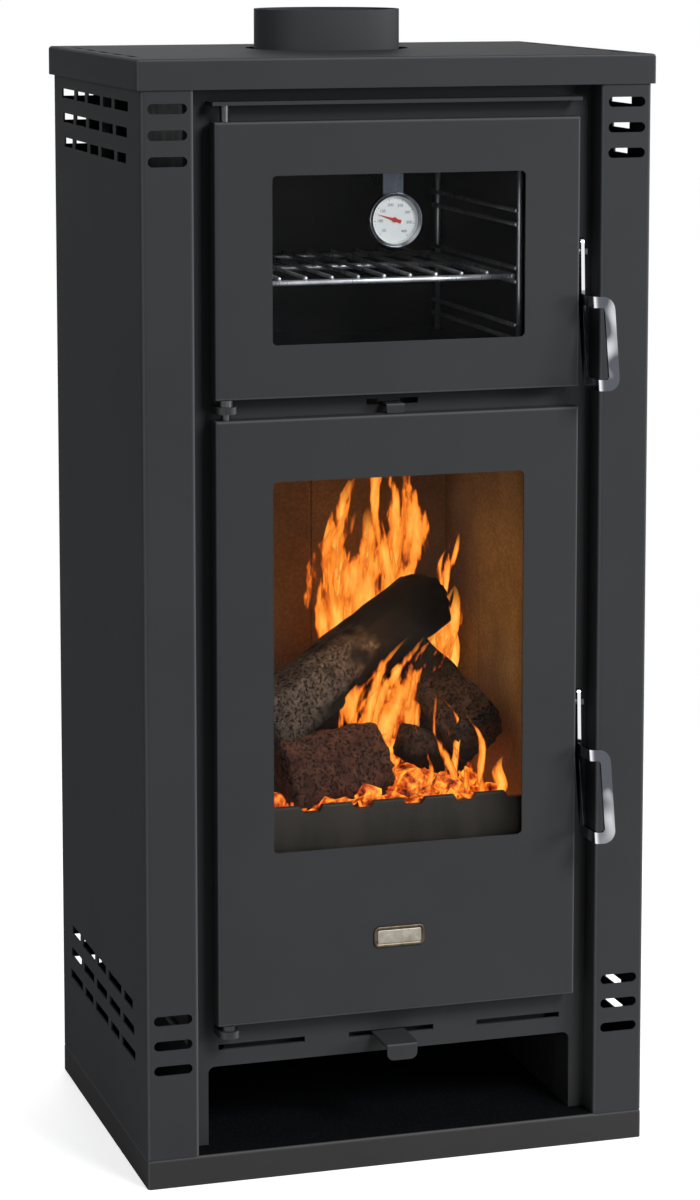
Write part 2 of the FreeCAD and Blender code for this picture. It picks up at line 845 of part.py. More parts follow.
# Log retainer: a bar with a row of tabs along its top, seen through the bottom of the fire window
def log_retainer():
    half = brick_inner - retainer_bar_side_gap
    y0 = frame_y1 + retainer_bar_setback
    z1 = hearth_top + retainer_bar_height
    foot = z1 - retainer_tab_rise
    pitch = (half - retainer_bar_end) * 2 / retainer_tabs
    crest_half = (pitch - retainer_notch_width) / 2
    foot_half = (pitch - retainer_notch_floor) / 2
    points = [V(-half, y0, hearth_top), V(-half, y0, foot)]
    for column in range(retainer_tabs):
        x = (column - (retainer_tabs - 1) / 2) * pitch
        points += [V(x - foot_half, y0, foot), V(x - crest_half, y0, z1),
                   V(x + crest_half, y0, z1), V(x + foot_half, y0, foot)]
    points += [V(half, y0, foot), V(half, y0, hearth_top)]
    bar = outline_solid(points, V(0, retainer_bar_thickness, 0))
    return rounded(bar, V(1, 0, 0), retainer_bar_edge, lambda middle: middle.z > foot + running_gap)


def brick(x0, x1, y0, y1, z0, z1):
    """One firebrick with broken edges."""
    block = box(x0, x1, y0, y1, z0, z1)
    return block.makeChamfer(brick_chamfer, block.Edges)


def left_firebricks():
    middle = (brick_y0 + chamber_rear) / 2
    return [brick(-wall_inner, -brick_inner, brick_y0, middle, hearth_top, brick_top),
            brick(-wall_inner, -brick_inner, middle, chamber_rear, hearth_top, brick_top)]


def rear_firebricks():
    return [brick(-brick_inner, 0, rear_brick_y0, chamber_rear, hearth_top, brick_top),
            brick(0, brick_inner, rear_brick_y0, chamber_rear, hearth_top, brick_top)]


def baffle_plate():
    return brick(-wall_inner, wall_inner, frame_y1 + baffle_setback, chamber_rear,
                 brick_top, brick_top + baffle_thickness)


# Oven box, open to the front, with a wire ladder on each side and one rack
def oven_box():
    half = oven_half + oven_plate
    outer = box(-half, half, frame_y1, oven_back + oven_plate,
                oven_opening[0] - oven_plate, oven_opening[1] + oven_plate)
    inner = rounded(box(-oven_half, oven_half, frame_y1 - overrun, oven_back,
                        oven_opening[0], oven_opening[1]), V(0, 1, 0), oven_corner)
    return outer.cut(inner)


post_x = oven_half - post_side_gap - post_radius
rung_x = post_x - post_radius - rung_radius + rung_weld
rack_x = post_x - post_radius - rack_wire_radius - fit_gap
post_y0 = frame_y1 + post_end_gap
post_y1 = oven_back - post_end_gap


def rung_level(pair):
    """Height of the lower rung of a pair."""
    return oven_opening[0] + rung_first_rise + rung_pitch * pair


def oven_left_rail():
    posts = [wire(post_radius, V(-post_x, y, oven_opening[0]), V(-post_x, y, oven_opening[1]))
             for y in (post_y0, post_y1)]
    rungs = []
    for pair in range(rung_pairs):
        for level in (rung_level(pair), rung_level(pair) + rung_pair_gap):
            rungs.append(wire(rung_radius, V(-rung_x, post_y0 - post_radius, level),
                              V(-rung_x, post_y1 + post_radius, level)))
    return joined(*posts, *rungs)


def oven_rack():
    z = rung_level(rack_pair) + rung_radius + slide_gap + rack_wire_radius
    y0 = frame_y1 + rack_setback
    y1 = oven_back - rack_rear_gap
    middle = y0 + (y1 - y0) * rack_cross_share
    reach = rack_wire_radius
    sides = [wire(rack_wire_radius, V(x, y0 - reach, z), V(x, y1 + reach, z)) for x in (-rack_x, rack_x)]
    crosses = [wire(rack_wire_radius, V(-rack_x, y, z), V(rack_x, y, z)) for y in (y0, middle, y1)]
    bar_z = z + rack_wire_radius + rack_bar_radius - rack_weld
    pitch = rack_x * 2 / (rack_bars + 1)
    bars = []
    for column in range(rack_bars):
        x = -rack_x + pitch * (column + 1)
        bars.append(wire(rack_bar_radius, V(x, y0 - reach, bar_z), V(x, y1 + reach, bar_z)))
    return joined(*sides, *crosses, *bars)


# Door panel: a folded pan with inward lips behind, a window, and holes for its pins and its latch pivot
def door_panel(z0, z1, window0, window1, pivot_z):
    pan = box(-door_half, door_half, door_y0, door_y1, z0, z1)
    front = [edge for edge in pan.Edges if edge.BoundBox.YMax < door_y0 + door_sheet]
    pan = pan.makeFillet(door_bend, front)
    inside = box(-door_half + door_sheet, door_half - door_sheet, door_y0 + door_sheet, door_y1 - door_sheet,
                 z0 + door_sheet, z1 - door_sheet)
    back = slab(door_half - door_lip, door_y1 - door_sheet - overrun, door_y1 + overrun,
                z0 + door_lip, z1 - door_lip, opening_corner)
    window = slab(window_half, door_y0 - overrun, door_y0 + door_sheet + overrun,
                  window0, window1, window_corner)
    pin_hole = round_bar_cut(hinge_pin_radius, hinge_x, hinge_y, z0, z1)
    pivot_hole = rod(pivot_radius, V(door_half - door_sheet - overrun, pivot_y, pivot_z),
                     V(door_half + overrun, pivot_y, pivot_z))
    return pan.cut(inside).cut(back).cut(window).cut(pin_hole).cut(pivot_hole)


def ring(half_x, y0, y1, z0, z1, border, corner):
    """A flat frame: a plate with rounded corners and a hole that leaves a border."""
    plate = slab(half_x, y0, y1, z0, z1, corner)
    return plate.cut(slab(half_x - border, y0 - overrun, y1 + overrun, z0 + border, z1 - border, corner))


def door_glass(window0, window1):
    half = window_half + glass_lap
    return box(-half, half, glass_y, glass_y + glass_thickness, window0 - glass_lap, window1 + glass_lap)


def glass_gasket(window0, window1):
    return ring(window_half + glass_lap, gasket_y, gasket_y + gasket_thickness,
                window0 - glass_lap, window1 + glass_lap, glass_lap - gasket_edge, window_corner)


retainer_half = window_half + glass_lap + retainer_border


def screw_rows(window0, window1):
    """Places of the retainer's screws on its left and right borders."""
    run = window1 - window0
    middle = (window0 + window1) / 2
    x = retainer_half - retainer_border / 2
    return [V(side * x, retainer_y, middle + run * share)
            for side in (-1, 1) for share in retainer_screw_shares]


def glass_retainer(window0, window1):
    spread = glass_lap + retainer_border
    frame = ring(retainer_half, retainer_y, retainer_back, window0 - spread, window1 + spread,
                 retainer_border + retainer_lap, window_corner)
    holes = [wire(retainer_screw_radius, place - V(0, overrun, 0), place + V(0, overrun, 0))
             for place in screw_rows(window0, window1)]
    return without(frame, holes)


def retainer_screws(window0, window1):
    screws = []
    for place in screw_rows(window0, window1):
        seat = V(place.x, retainer_back, place.z)
        head = prism(retainer_screw_head_radius, seat, seat + V(0, retainer_screw_head_height, 0), hex_sides)
        shank = wire(retainer_screw_radius, V(place.x, gasket_y, place.z), seat)
        screws.append(joined(head, shank))
    return screws


def rope_seal(z0, z1):
    """Flattened rope on the door's lips, a hair clear of the frame plate."""
    back = frame_y0 - fit_gap
    rope = ring(door_half - rope_inset, door_y1, back, z0 + rope_inset, z1 - rope_inset, rope_width,
                opening_corner)
    rear = [edge for edge in rope.Edges if edge.BoundBox.YMin > back - running_gap]
    return rope.makeChamfer(rope_edge, rear)


# Latch: a pivot bolt with a spacer in the door's right edge, and the lever that turns on it
def latch_pivot(pivot_z):
    def along(x):
        return V(x, pivot_y, pivot_z)

    inside = door_half - door_sheet
    nut_x = lever_x1 + slide_gap
    end = along(nut_x + pivot_head_height)
    head = prism(pivot_head_radius, along(inside - pivot_head_height), along(inside), hex_sides)
    shank = rod(pivot_radius, along(inside), end)
    spacer = rod(pivot_head_radius, along(door_half), along(lever_x0 - slide_gap))
    nut = prism(pivot_head_radius, along(nut_x), end, hex_sides)
    return joined(shank, head, spacer, nut)


def arc(start, middle, end):
    return Part.Arc(start, middle, end).toShape()


def line(start, end):
    return Part.makeLine(start, end)


def grip_loop(pivot_z):
    """The closed grip: a strip folded a quarter turn, leaning out towards its lower end."""
    top = pivot_z - lever_drop
    back = pivot_y - loop_shift + lever_bar_width / 2
    fold = back - loop_reach
    flange_x = lever_x0 + loop_width
    inner_bend = lever_bend - lever_sheet
    cut_share = 1 - math.cos(math.pi / 4)

    def at(x, y):
        return V(x, y, top)

    profile = Part.Wire([
        line(at(lever_x0, back), at(lever_x0, fold + lever_bend)),
        arc(at(lever_x0, fold + lever_bend),
            at(lever_x0 + lever_bend * cut_share, fold + lever_bend * cut_share),
            at(lever_x0 + lever_bend, fold)),
        line(at(lever_x0 + lever_bend, fold), at(flange_x, fold)),
        line(at(flange_x, fold), at(flange_x, fold + lever_sheet)),
        line(at(flange_x, fold + lever_sheet), at(lever_x0 + lever_bend, fold + lever_sheet)),
        arc(at(lever_x0 + lever_bend, fold + lever_sheet),
            at(lever_x1 + inner_bend * cut_share, fold + lever_sheet + inner_bend * cut_share),
            at(lever_x1, fold + lever_bend)),
        line(at(lever_x1, fold + lever_bend), at(lever_x1, back)),
        line(at(lever_x1, back), at(lever_x0, back)),
    ])
    strip = Part.Face(profile).extrude(V(0, -loop_run, -loop_height))
    strip = rounded(strip, V(0, 1, 0), loop_corner, lambda middle: middle.x > flange_x - running_gap)

    share = loop_strip / loop_height
    start = V(lever_x0 - overrun, fold - overrun - loop_run * share, top - loop_strip)
    across = V(flange_x - loop_strip - start.x, 0, 0)
    inward = V(0, loop_reach - lever_bar_width + overrun, 0)
    run = V(0, -loop_run, -loop_height) * (1 - share * 2)
    window = outline_solid([start, start + across, start + across + inward, start + inward], run)
    window = rounded(window, V(0, 1, 0), loop_inner_corner, lambda middle: middle.x > lever_x1)
    return strip.cut(window)


def latch_lever(pivot_z):
    """Bar about the pivot, grip loop below it, and a hook that reaches through the frame plate."""
    half = lever_bar_width / 2
    crown = pivot_z + lever_top_rise - half
    loop_top = pivot_z - lever_drop
    loop_back = pivot_y - loop_shift + half

    def at(y, z):
        return V(lever_x0, y, z)

    bar_wire = Part.Wire([
        line(at(pivot_y - half, crown), at(loop_back - lever_bar_width, loop_top)),
        line(at(loop_back - lever_bar_width, loop_top), at(loop_back, loop_top)),
        line(at(loop_back, loop_top), at(pivot_y + half, crown)),
        arc(at(pivot_y + half, crown), at(pivot_y, crown + half), at(pivot_y - half, crown)),
    ])
    thick = V(lever_sheet, 0, 0)
    bar = Part.Face(bar_wire).extrude(thick)
    barb_top = pivot_z + hook_over + hook_barb
    hook = outline_solid([
        at(pivot_y, pivot_z - hook_under), at(hook_tip - hook_nose, pivot_z - hook_under),
        at(hook_tip, pivot_z - hook_under + hook_nose), at(hook_tip, barb_top - hook_nose),
        at(hook_tip - hook_nose, barb_top), at(hook_tip - hook_barb_length, barb_top),
        at(hook_tip - hook_barb_length, pivot_z + hook_over), at(pivot_y, pivot_z + hook_over)], thick)
    lever = joined(bar, hook, grip_loop(pivot_z))
    hole = rod(pivot_radius + running_gap, at(pivot_y, pivot_z) - thick, at(pivot_y, pivot_z) + thick * 2)
    return lever.cut(hole)


# Bare plate on the lower part of the fire door
def badge_plate():
    middle = fire_door_bottom + badge_rise
    return slab(badge_width / 2, door_y0 - badge_thickness, door_y0,
                middle - badge_height / 2, middle + badge_height / 2, badge_corner)


# Dial thermometer, hung from the top of the oven's glass retainer
dial_z = oven_window_top - dial_drop
case_y0 = retainer_y + case_glass_gap
case_y1 = case_y0 + case_depth
dial_y = case_y0 + dial_setback


def disc(radius, y0, y1):
    """A round disc about the dial's axis."""
    return rod(radius, V(0, y0, dial_z), V(0, y1, dial_z))


def thermometer_case():
    cup = disc(case_radius, case_y0, case_y1)
    hollow = disc(case_radius - case_wall, case_y0 + bezel_lip_depth, case_y1 - case_wall)
    mouth = disc(case_radius - case_wall - bezel_lip, case_y0 - overrun, case_y1 - case_wall)
    return cup.cut(hollow).cut(mouth)


def thermometer_lens():
    start = case_y0 + bezel_lip_depth
    return disc(case_radius - case_wall, start, start + lens_thickness)


def thermometer_dial():
    """Dial plate; its spindle bush reaches back to the case, where the bimetal coil sits."""
    plate = disc(case_radius - case_wall, dial_y, dial_y + dial_thickness)
    bush = disc(needle_hub_radius, dial_y, case_y1 - case_wall)
    return joined(plate, bush).cut(disc(spindle_radius + running_gap, dial_y - overrun, case_y1 - case_wall))


def thermometer_needle():
    """Needle with a short tail, a hub and a spindle in the dial's bush."""
    y1 = dial_y - slide_gap
    y0 = y1 - needle_thickness
    blade = outline_solid([V(-needle_tail, y0, dial_z - needle_width), V(needle_reach, y0, dial_z),
                           V(-needle_tail, y0, dial_z + needle_width)], V(0, needle_thickness, 0))
    needle = joined(blade, disc(needle_hub_radius, y0, y1), disc(spindle_radius, y0, dial_y + dial_thickness))
    needle.rotate(V(0, y0, dial_z), V(0, -1, 0), needle_angle_deg)
    return needle


def thermometer_hanger():
    """A Z-bent strip: screwed tab on the retainer, ledge, and the drop that carries the case."""
    half = hanger_width / 2
    ledge = oven_window_top + glass_lap - retainer_lap + slide_gap
    tab = box(-half, half, retainer_back, retainer_back + hanger_sheet, ledge, ledge + hanger_tab)
    shelf = box(-half, half, retainer_back, case_y1 + hanger_sheet, ledge, ledge + hanger_sheet)
    drop = box(-half, half, case_y1, case_y1 + hanger_sheet, dial_z - hanger_below, ledge + hanger_sheet)
    drop = rounded(drop, V(0, 1, 0), hanger_corner, lambda middle: middle.z < dial_z)
    return joined(tab, shelf, drop)


left_panel = side_panel()
left_rail = oven_left_rail()
left_wall = left_body_wall()
left_bricks = left_firebricks()
right_bricks = [mirrored(left_brick) for left_brick in left_bricks]

save("base_tray", base_tray())
save("left_side_panel", left_panel)
save("right_side_panel", mirrored(left_panel))
save("top_lid", top_lid())
save("rear_shield", rear_shield())
save("casing_screws", *casing_screws())
save("front_frame", front_frame())
save("top_hinge_rail", top_hinge_rail())
save("hinge_lugs", hinge_lug(lower_lug_middle), hinge_lug(between_doors))
save("store_liner", store_liner())
save("left_body_wall", left_wall)
save("right_body_wall", mirrored(left_wall))
save("rear_body_wall", rear_body_wall())
save("body_top_plate", body_top_plate())
save("flue_collar", flue_collar())
save("ash_floor", ash_floor())
save("ash_pan", ash_pan())
save("air_valve_seat", air_valve_seat())
save("primary_air_slider", primary_air_slider())
save("secondary_air_duct", secondary_air_duct())
save("secondary_air_slider", secondary_air_slider())
save("hearth_bed", hearth_bed())
save("grate", grate())
save("log_retainer", log_retainer())
save("left_firebricks", *left_bricks)
save("right_firebricks", *right_bricks)
save("rear_firebricks", *rear_firebricks())
save("baffle_plate", baffle_plate())
save("oven_box", oven_box())
save("oven_left_rail", left_rail)
save("oven_right_rail", mirrored(left_rail))
save("oven_rack", oven_rack())

doors = (
    ("oven", oven_door_bottom, oven_door_top, oven_window_bottom, oven_window_top, oven_pivot_z),
    ("fire", fire_door_bottom, fire_door_top, fire_window_bottom, fire_window_top, fire_pivot_z),
)
for name, door0, door1, window0, window1, pivot_z in doors:
    save(name + "_door_panel", door_panel(door0, door1, window0, window1, pivot_z))
    save(name + "_door_glass", door_glass(window0, window1))
    save(name + "_glass_gasket", glass_gasket(window0, window1))
    save(name + "_glass_retainer", glass_retainer(window0, window1))
    save(name + "_retainer_screws", *retainer_screws(window0, window1))
    save(name + "_door_seal", rope_seal(door0, door1))
    save(name + "_latch_pivot", latch_pivot(pivot_z))
    save(name + "_latch_lever", latch_lever(pivot_z))
save("oven_hinge_pins", *oven_hinge_pins())
save("fire_hinge_pins", *fire_hinge_pins())
save("badge_plate", badge_plate())
save("thermometer_hanger", thermometer_hanger())
save("thermometer_case", thermometer_case())
save("thermometer_dial", thermometer_dial())
save("thermometer_lens", thermometer_lens())
save("thermometer_needle", thermometer_needle())
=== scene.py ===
import math
import random

import bmesh
import bpy
from mathutils import Matrix, Vector, noise


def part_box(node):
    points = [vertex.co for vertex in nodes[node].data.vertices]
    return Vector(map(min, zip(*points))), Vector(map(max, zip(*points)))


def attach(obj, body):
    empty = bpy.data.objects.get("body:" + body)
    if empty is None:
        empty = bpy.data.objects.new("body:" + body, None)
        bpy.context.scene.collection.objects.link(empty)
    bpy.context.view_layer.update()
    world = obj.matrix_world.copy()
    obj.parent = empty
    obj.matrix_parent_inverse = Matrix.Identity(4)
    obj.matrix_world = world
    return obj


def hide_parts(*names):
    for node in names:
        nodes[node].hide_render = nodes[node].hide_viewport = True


# Looks of a wood cookstove with an oven over the fire. Metres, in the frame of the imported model.
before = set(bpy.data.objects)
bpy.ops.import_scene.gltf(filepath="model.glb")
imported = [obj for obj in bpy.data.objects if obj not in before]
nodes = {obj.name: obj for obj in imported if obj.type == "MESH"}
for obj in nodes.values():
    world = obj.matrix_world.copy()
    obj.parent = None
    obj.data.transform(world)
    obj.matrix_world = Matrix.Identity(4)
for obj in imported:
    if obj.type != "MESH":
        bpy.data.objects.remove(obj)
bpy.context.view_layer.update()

# Camera, as the photograph sees the stove
image_width = 700
image_height = 1200
sensor_width = 36.0
camera_place = Vector((-0.8918, -2.9043, 1.0680))
camera_yaw_deg = 17.081
camera_pitch_deg = 7.16
camera_focal_px = 3453.4
camera_centre_px = (350, 360)

# Depths of the fine relief on each material
coat_relief = 0.00005
black_relief = 0.00005
chrome_relief = 0.00001
steel_relief = 0.00002
iron_relief = 0.0004
brick_relief = 0.0003
yarn_relief = 0.0003
brass_relief = 0.00004
bark_relief = 0.0008
ember_relief = 0.001

# Where a surface counts as folded or as looking up, for painted fold highlights and painted shade on upward
# faces, and at what share of its height a lever's painted highlight begins
fold_shares = (0.78, 0.985)
upward_shares = (0.9, 0.99)
lever_strip_shares = (0.64, 0.65)

# Wires of the oven rack and of its side ladders
wire_sides = 16
wire_tip_share = 0.4
wire_end_share = 0.6
rack_wire_radius = 0.0025
rack_bar_radius = 0.0018
rack_bars = 9
rack_cross_share = 0.55
post_radius = 0.0025
rung_radius = 0.0020
rung_first_rise = 0.016
rung_pitch = 0.050
rung_pair_gap = 0.012
rung_pairs = 3

# Rope seals and glass tapes
rope_step = 0.0022
rope_around = 14
rope_width = 0.0080
rope_corner = 0.008
rope_braid_length = 0.0090
rope_braid_share = 0.09
rope_strands = 3
tape_step = 0.004
tape_around = 10
tape_width = 0.0080
tape_corner = 0.004
tape_wave = 0.00012
tape_wave_turn = 1.7
tape_round_share = 0.4
path_corner_steps = 3

# Plate on the fire door
plate_corner = 0.005
plate_corner_steps = 10
rim_insets = (0.0, 0.0, 0.0006, 0.0018, 0.0027, 0.0031)
rim_height_shares = (0.0, 0.65, 1.0, 1.0, 0.75, 0.55)
panel_insets = (0.0033, 0.0033, 0.0038)
panel_height_shares = (0.55, 0.74, 0.80)

# Thermometer dial
dial_number_first = 50
dial_number_step = 50
dial_number_count = 8
dial_start_deg = 223.0
dial_step_deg = -39.0
dial_number_radius = 0.0130
dial_number_size = 0.0034
dial_tick_outer = 0.0184
dial_tick_inner = 0.0166
dial_minor_inner = 0.0174
dial_minor_ticks = 5
dial_tick_width = 0.00045
dial_minor_width = 0.00025
ink_height = 0.00008
turned_steps = 96

# Sections of the thermometer's case and of its inner ring: radius, and depth behind the case's front
case_section = ((0.0227, 0.0090), (0.0233, 0.0088), (0.0235, 0.0082), (0.0235, 0.0008), (0.0233, 0.0004),
                (0.0230, 0.0001), (0.0227, 0.0), (0.0224, 0.0001), (0.0221, 0.0004), (0.0219, 0.0006),
                (0.0205, 0.0011), (0.0203, 0.0012), (0.0223, 0.0012), (0.0223, 0.0078))
dial_ring_section = ((0.0203, 0.0021), (0.0200, 0.0023), (0.0189, 0.0047), (0.0188, 0.0050))

# Logs: start, end, radius at both ends, material, share of char at both ends, heat at both ends
fire_seed = 11
logs = {
    "main_log": ((-0.100, -0.061, 0.374), (0.090, 0.040, 0.462), (0.030, 0.028),
                 "grey_bark", (0.0, 1.1), (0.1, 0.0)),
    "right_log": ((0.064, 0.030, 0.406), (0.103, -0.060, 0.352), (0.028, 0.030),
                  "dark_bark", (0.8, 0.1), (1.0, 0.2)),
    "front_log": ((-0.091, -0.068, 0.326), (0.010, -0.046, 0.334), (0.040, 0.036),
                  "red_bark", (0.1, 0.2), (-0.8, 1.5)),
    "small_log": ((0.034, -0.046, 0.350), (0.092, -0.026, 0.322), (0.017, 0.019),
                  "dark_bark", (0.1, 1.0), (0.2, 0.6)),
    "hot_log": ((0.004, -0.036, 0.322), (0.046, -0.006, 0.382), (0.024, 0.018),
                "ember", (0.0, 0.0), (1.0, 1.0)),
    "rear_log": ((-0.098, 0.070, 0.326), (0.100, 0.082, 0.330), (0.030, 0.030),
                 "grey_bark", (0.8, 0.8), (0.4, 0.4)),
}
log_rings = 72
log_around = 56
log_seed_step = 7.3
log_flats = 4
log_flat_share = 0.75
log_flat_middle_share = 0.86
log_end_share = 0.16
log_end_run_share = 0.03
log_end_rough = 0.004
# Logs turn darker and glow more towards their underside
log_under_dark_share = 0.8
log_under_heat_share = 0.5

# Unevenness of a log: waves round it, waves along it and share of its radius
log_broad_around, log_broad_along, log_broad_share = 0.9, 3, 0.10
log_ridge_around, log_ridge_along, log_ridge_share = 5.5, 4, 0.05
log_crack_around, log_crack_along, log_crack_share = 9, 14, 0.04
log_broad_scale = 1.6
log_crack_offset = 3

# Ember bed, with loose chunks on it
ember_clear = 0.004
ember_rise = 0.054
ember_wave = 0.016
ember_least = 0.004
ember_columns = 56
ember_rows = 44
ember_edge_power = 4
ember_edge_share = 0.5
ember_waves_per_metre = 40
ember_octaves = 4
ember_octave_share = 0.9
ember_octave_step = 2.0
ember_chunks = 120
chunk_sizes = (0.005, 0.013)
chunk_spread_share = 0.92
chunk_lift_share = 0.3
chunk_rough_share = 0.75
chunk_waves = 1.9
chunk_subdivisions = 2

# Groups of flames: count, first and last foot, heights, widths, lean to the right
flame_groups = (
    (10, (-0.006, 0.058, 0.396), (0.074, 0.058, 0.440), (0.11, 0.19), (0.018, 0.034), 0.12),
    (9, (-0.020, -0.040, 0.338), (0.054, -0.030, 0.350), (0.06, 0.11), (0.010, 0.018), 0.45),
    (6, (0.080, 0.056, 0.368), (0.114, 0.056, 0.374), (0.06, 0.10), (0.012, 0.020), 0.10),
    (3, (0.094, 0.050, 0.440), (0.108, 0.050, 0.460), (0.05, 0.08), (0.004, 0.007), 0.25),
    (5, (0.050, -0.082, 0.306), (0.105, -0.078, 0.306), (0.05, 0.10), (0.004, 0.009), -0.20),
    (10, (-0.005, -0.085, 0.300), (0.118, -0.080, 0.300), (0.02, 0.045), (0.008, 0.014), 0.10),
)
flame_rows = 26
flame_columns = 7
flame_stray = 0.010
flame_yaw = 0.5
flame_sway_shares = (0.5, 1.0)
flame_swing_share = 0.13
flame_swing_turn = 6.0
flame_foot_share = 0.12
flame_round_share = 0.8
flame_taper_share = 0.5
flame_back_share = 0.3
flame_bow_share = 0.35

# Floor, sky, lamps with their place, power in watts and size, and the glow of the fire
floor_half = 3.0
floor_fade_start = 0.5
floor_fade_end = 1.6
floor_camera_share = 0.68
sky_light_share = 0.12
stove_middle = (0.0, 0.0, 0.5)
lamps = {
    "key_light": ((0.9, -2.3, 2.05), 44.0, 0.9),
    "right_light": ((1.9, -2.0, 1.0), 25.0, 0.9),
    "left_light": ((-2.4, 0.6, 1.5), 12.0, 1.4),
    "rear_light": ((0.4, 2.6, 1.0), 36.0, 1.6),
}
glow_place = (0.02, -0.045, 0.46)
glow_power = 0.5
glow_size = 0.05
glow_colour = (1.0, 0.50, 0.16)


def feed(tree, socket, value):
    """Link a socket, or set its value."""
    if isinstance(value, bpy.types.NodeSocket):
        tree.links.new(value, socket)
    else:
        socket.default_value = value


def add(tree, kind, values=None, **settings):
    """A new shader node with its settings and its inputs."""
    made = tree.nodes.new("ShaderNode" + kind)
    for key, value in settings.items():
        setattr(made, key, value)
    for key, value in (values or {}).items():
        feed(tree, made.inputs[key], value)
    return made


def start_material(name, **values):
    """A material with a principled shader, whose inputs are given with _ for a space."""
    material = bpy.data.materials.new(name)
    material.use_nodes = True
    tree = material.node_tree
    shader = tree.nodes["Principled BSDF"]
    for key, value in values.items():
        shader.inputs[key.replace("_", " ")].default_value = value
    return material, tree, shader


def spots(tree, scale, detail=3.0, stretch=(1, 1, 1)):
    """Noise in the frame of the piece; scale is in waves per metre."""
    place = add(tree, "TexCoord").outputs["Object"]
    place = add(tree, "Mapping", {"Vector": place, "Scale": stretch}).outputs["Vector"]
    values = {"Vector": place, "Scale": scale, "Detail": detail, "Roughness": 0.6}
    return add(tree, "TexNoise", values).outputs["Fac"]


def cells(tree, scale, feature="F1"):
    """Cell pattern in the frame of the piece; scale is in cells per metre."""
    place = add(tree, "TexCoord").outputs["Object"]
    return add(tree, "TexVoronoi", {"Vector": place, "Scale": scale}, feature=feature).outputs["Distance"]


def spread(tree, factor, low, high, start=0.3, end=0.7):
    """A number that goes from low to high as the factor goes from start to end."""
    values = {"Value": factor, "From Min": start, "From Max": end, "To Min": low, "To Max": high}
    return add(tree, "MapRange", values).outputs["Result"]


def over(tree, factor, under, second):
    """A colour laid over the colour of a socket; 6, 7 and 2 are the mix node's colour sockets."""
    mix = add(tree, "Mix", {0: factor, 6: under, 7: (*second, 1.0)}, data_type="RGBA")
    return mix.outputs[2]


def tint(tree, factor, first, second):
    """A colour between two colours."""
    return over(tree, factor, (*first, 1.0), second)


def reckon(tree, operation, *values):
    """The result of an operation on numbers."""
    return add(tree, "Math", dict(enumerate(values)), operation=operation).outputs[0]


def product(tree, first, second):
    """Two numbers multiplied."""
    return reckon(tree, "MULTIPLY", first, second)


def bumps(tree, shader, height, distance, strength=0.5):
    """Fine relief on the shader's normal; distance is the relief's depth."""
    values = {"Height": height, "Distance": distance, "Strength": strength}
    feed(tree, shader.inputs["Normal"], add(tree, "Bump", values).outputs["Normal"])


def fold_share(tree):
    """How far a surface leans between the part's main directions: 0 on flats, 1 within a bend."""
    normal = add(tree, "TexCoord").outputs["Normal"]
    x, y, z = [reckon(tree, "ABSOLUTE", part) for part in add(tree, "SeparateXYZ", {0: normal}).outputs]
    flattest = reckon(tree, "MAXIMUM", reckon(tree, "MAXIMUM", x, y), z)
    return spread(tree, flattest, 1.0, 0.0, *fold_shares)


def powder_coat(name, dark, light, fold_highlight):
    """Satin powder coat with a fine grain and a faint cloudiness, with a painted highlight along its folds.
    """
    material, tree, shader = start_material(name, Specular_IOR_Level=0.008)
    colour = tint(tree, spread(tree, spots(tree, 7.0, 3.0), 0.0, 1.0), dark, light)
    speck = spread(tree, spots(tree, 900.0, 1.0), 0.0, 0.3, 0.6, 0.8)
    grained = over(tree, speck, colour, light)
    # Painted highlight: the folds are lightened to the last colour given
    feed(tree, shader.inputs["Base Color"], over(tree, fold_share(tree), grained, fold_highlight))
    feed(tree, shader.inputs["Roughness"], spread(tree, spots(tree, 300.0, 3.0), 0.70, 0.76))
    bumps(tree, shader, spots(tree, 1500.0, 2.0), coat_relief, 0.3)
    return material


def shade_and_dust_top(material):
    """Painted shade: near-black laid on the faces of a material that look up, with pale wood dust on them."""
    tree = material.node_tree
    colour = tree.nodes["Principled BSDF"].inputs["Base Color"]
    normal = add(tree, "TexCoord").outputs["Normal"]
    upward = spread(tree, add(tree, "SeparateXYZ", {0: normal}).outputs["Z"], 0.0, 1.0, *upward_shares)
    dust = product(tree, upward, spread(tree, spots(tree, 700.0, 4.0), 0.0, 0.7, 0.56, 0.74))
    # Painted shade: the faces that look up turn near-black, and pale dust is laid over them
    shaded = over(tree, upward, colour.links[0].from_socket, (0.005, 0.006, 0.007))
    feed(tree, colour, over(tree, dust, shaded, (0.055, 0.055, 0.055)))
    return material


def heat_black():
    """Matt black of the plates near the fire, with pale dust in streaks."""
    material, tree, shader = start_material("heat_black", Specular_IOR_Level=0.3)
    streak = spots(tree, 40.0, 6.0, (1, 1, 0.2))
    feed(tree, shader.inputs["Base Color"],
         tint(tree, spread(tree, streak, 0.0, 1.0), (0.012, 0.012, 0.0125), (0.032, 0.031, 0.030)))
    feed(tree, shader.inputs["Roughness"], spread(tree, spots(tree, 60.0, 4.0), 0.42, 0.62))
    bumps(tree, shader, spots(tree, 900.0), black_relief)
    return material


def oven_enamel():
    """Glossy black of the oven's inside, with a few faint marks from use."""
    material, tree, shader = start_material("oven_enamel", Specular_IOR_Level=0.1)
    marks = spots(tree, 90.0, 5.0)
    feed(tree, shader.inputs["Base Color"],
         tint(tree, spread(tree, marks, 0.0, 1.0, 0.5, 0.8), (0.0040, 0.0050, 0.0065), (0.012, 0.013, 0.015)))
    feed(tree, shader.inputs["Roughness"], spread(tree, spots(tree, 30.0, 4.0), 0.30, 0.38))
    return material


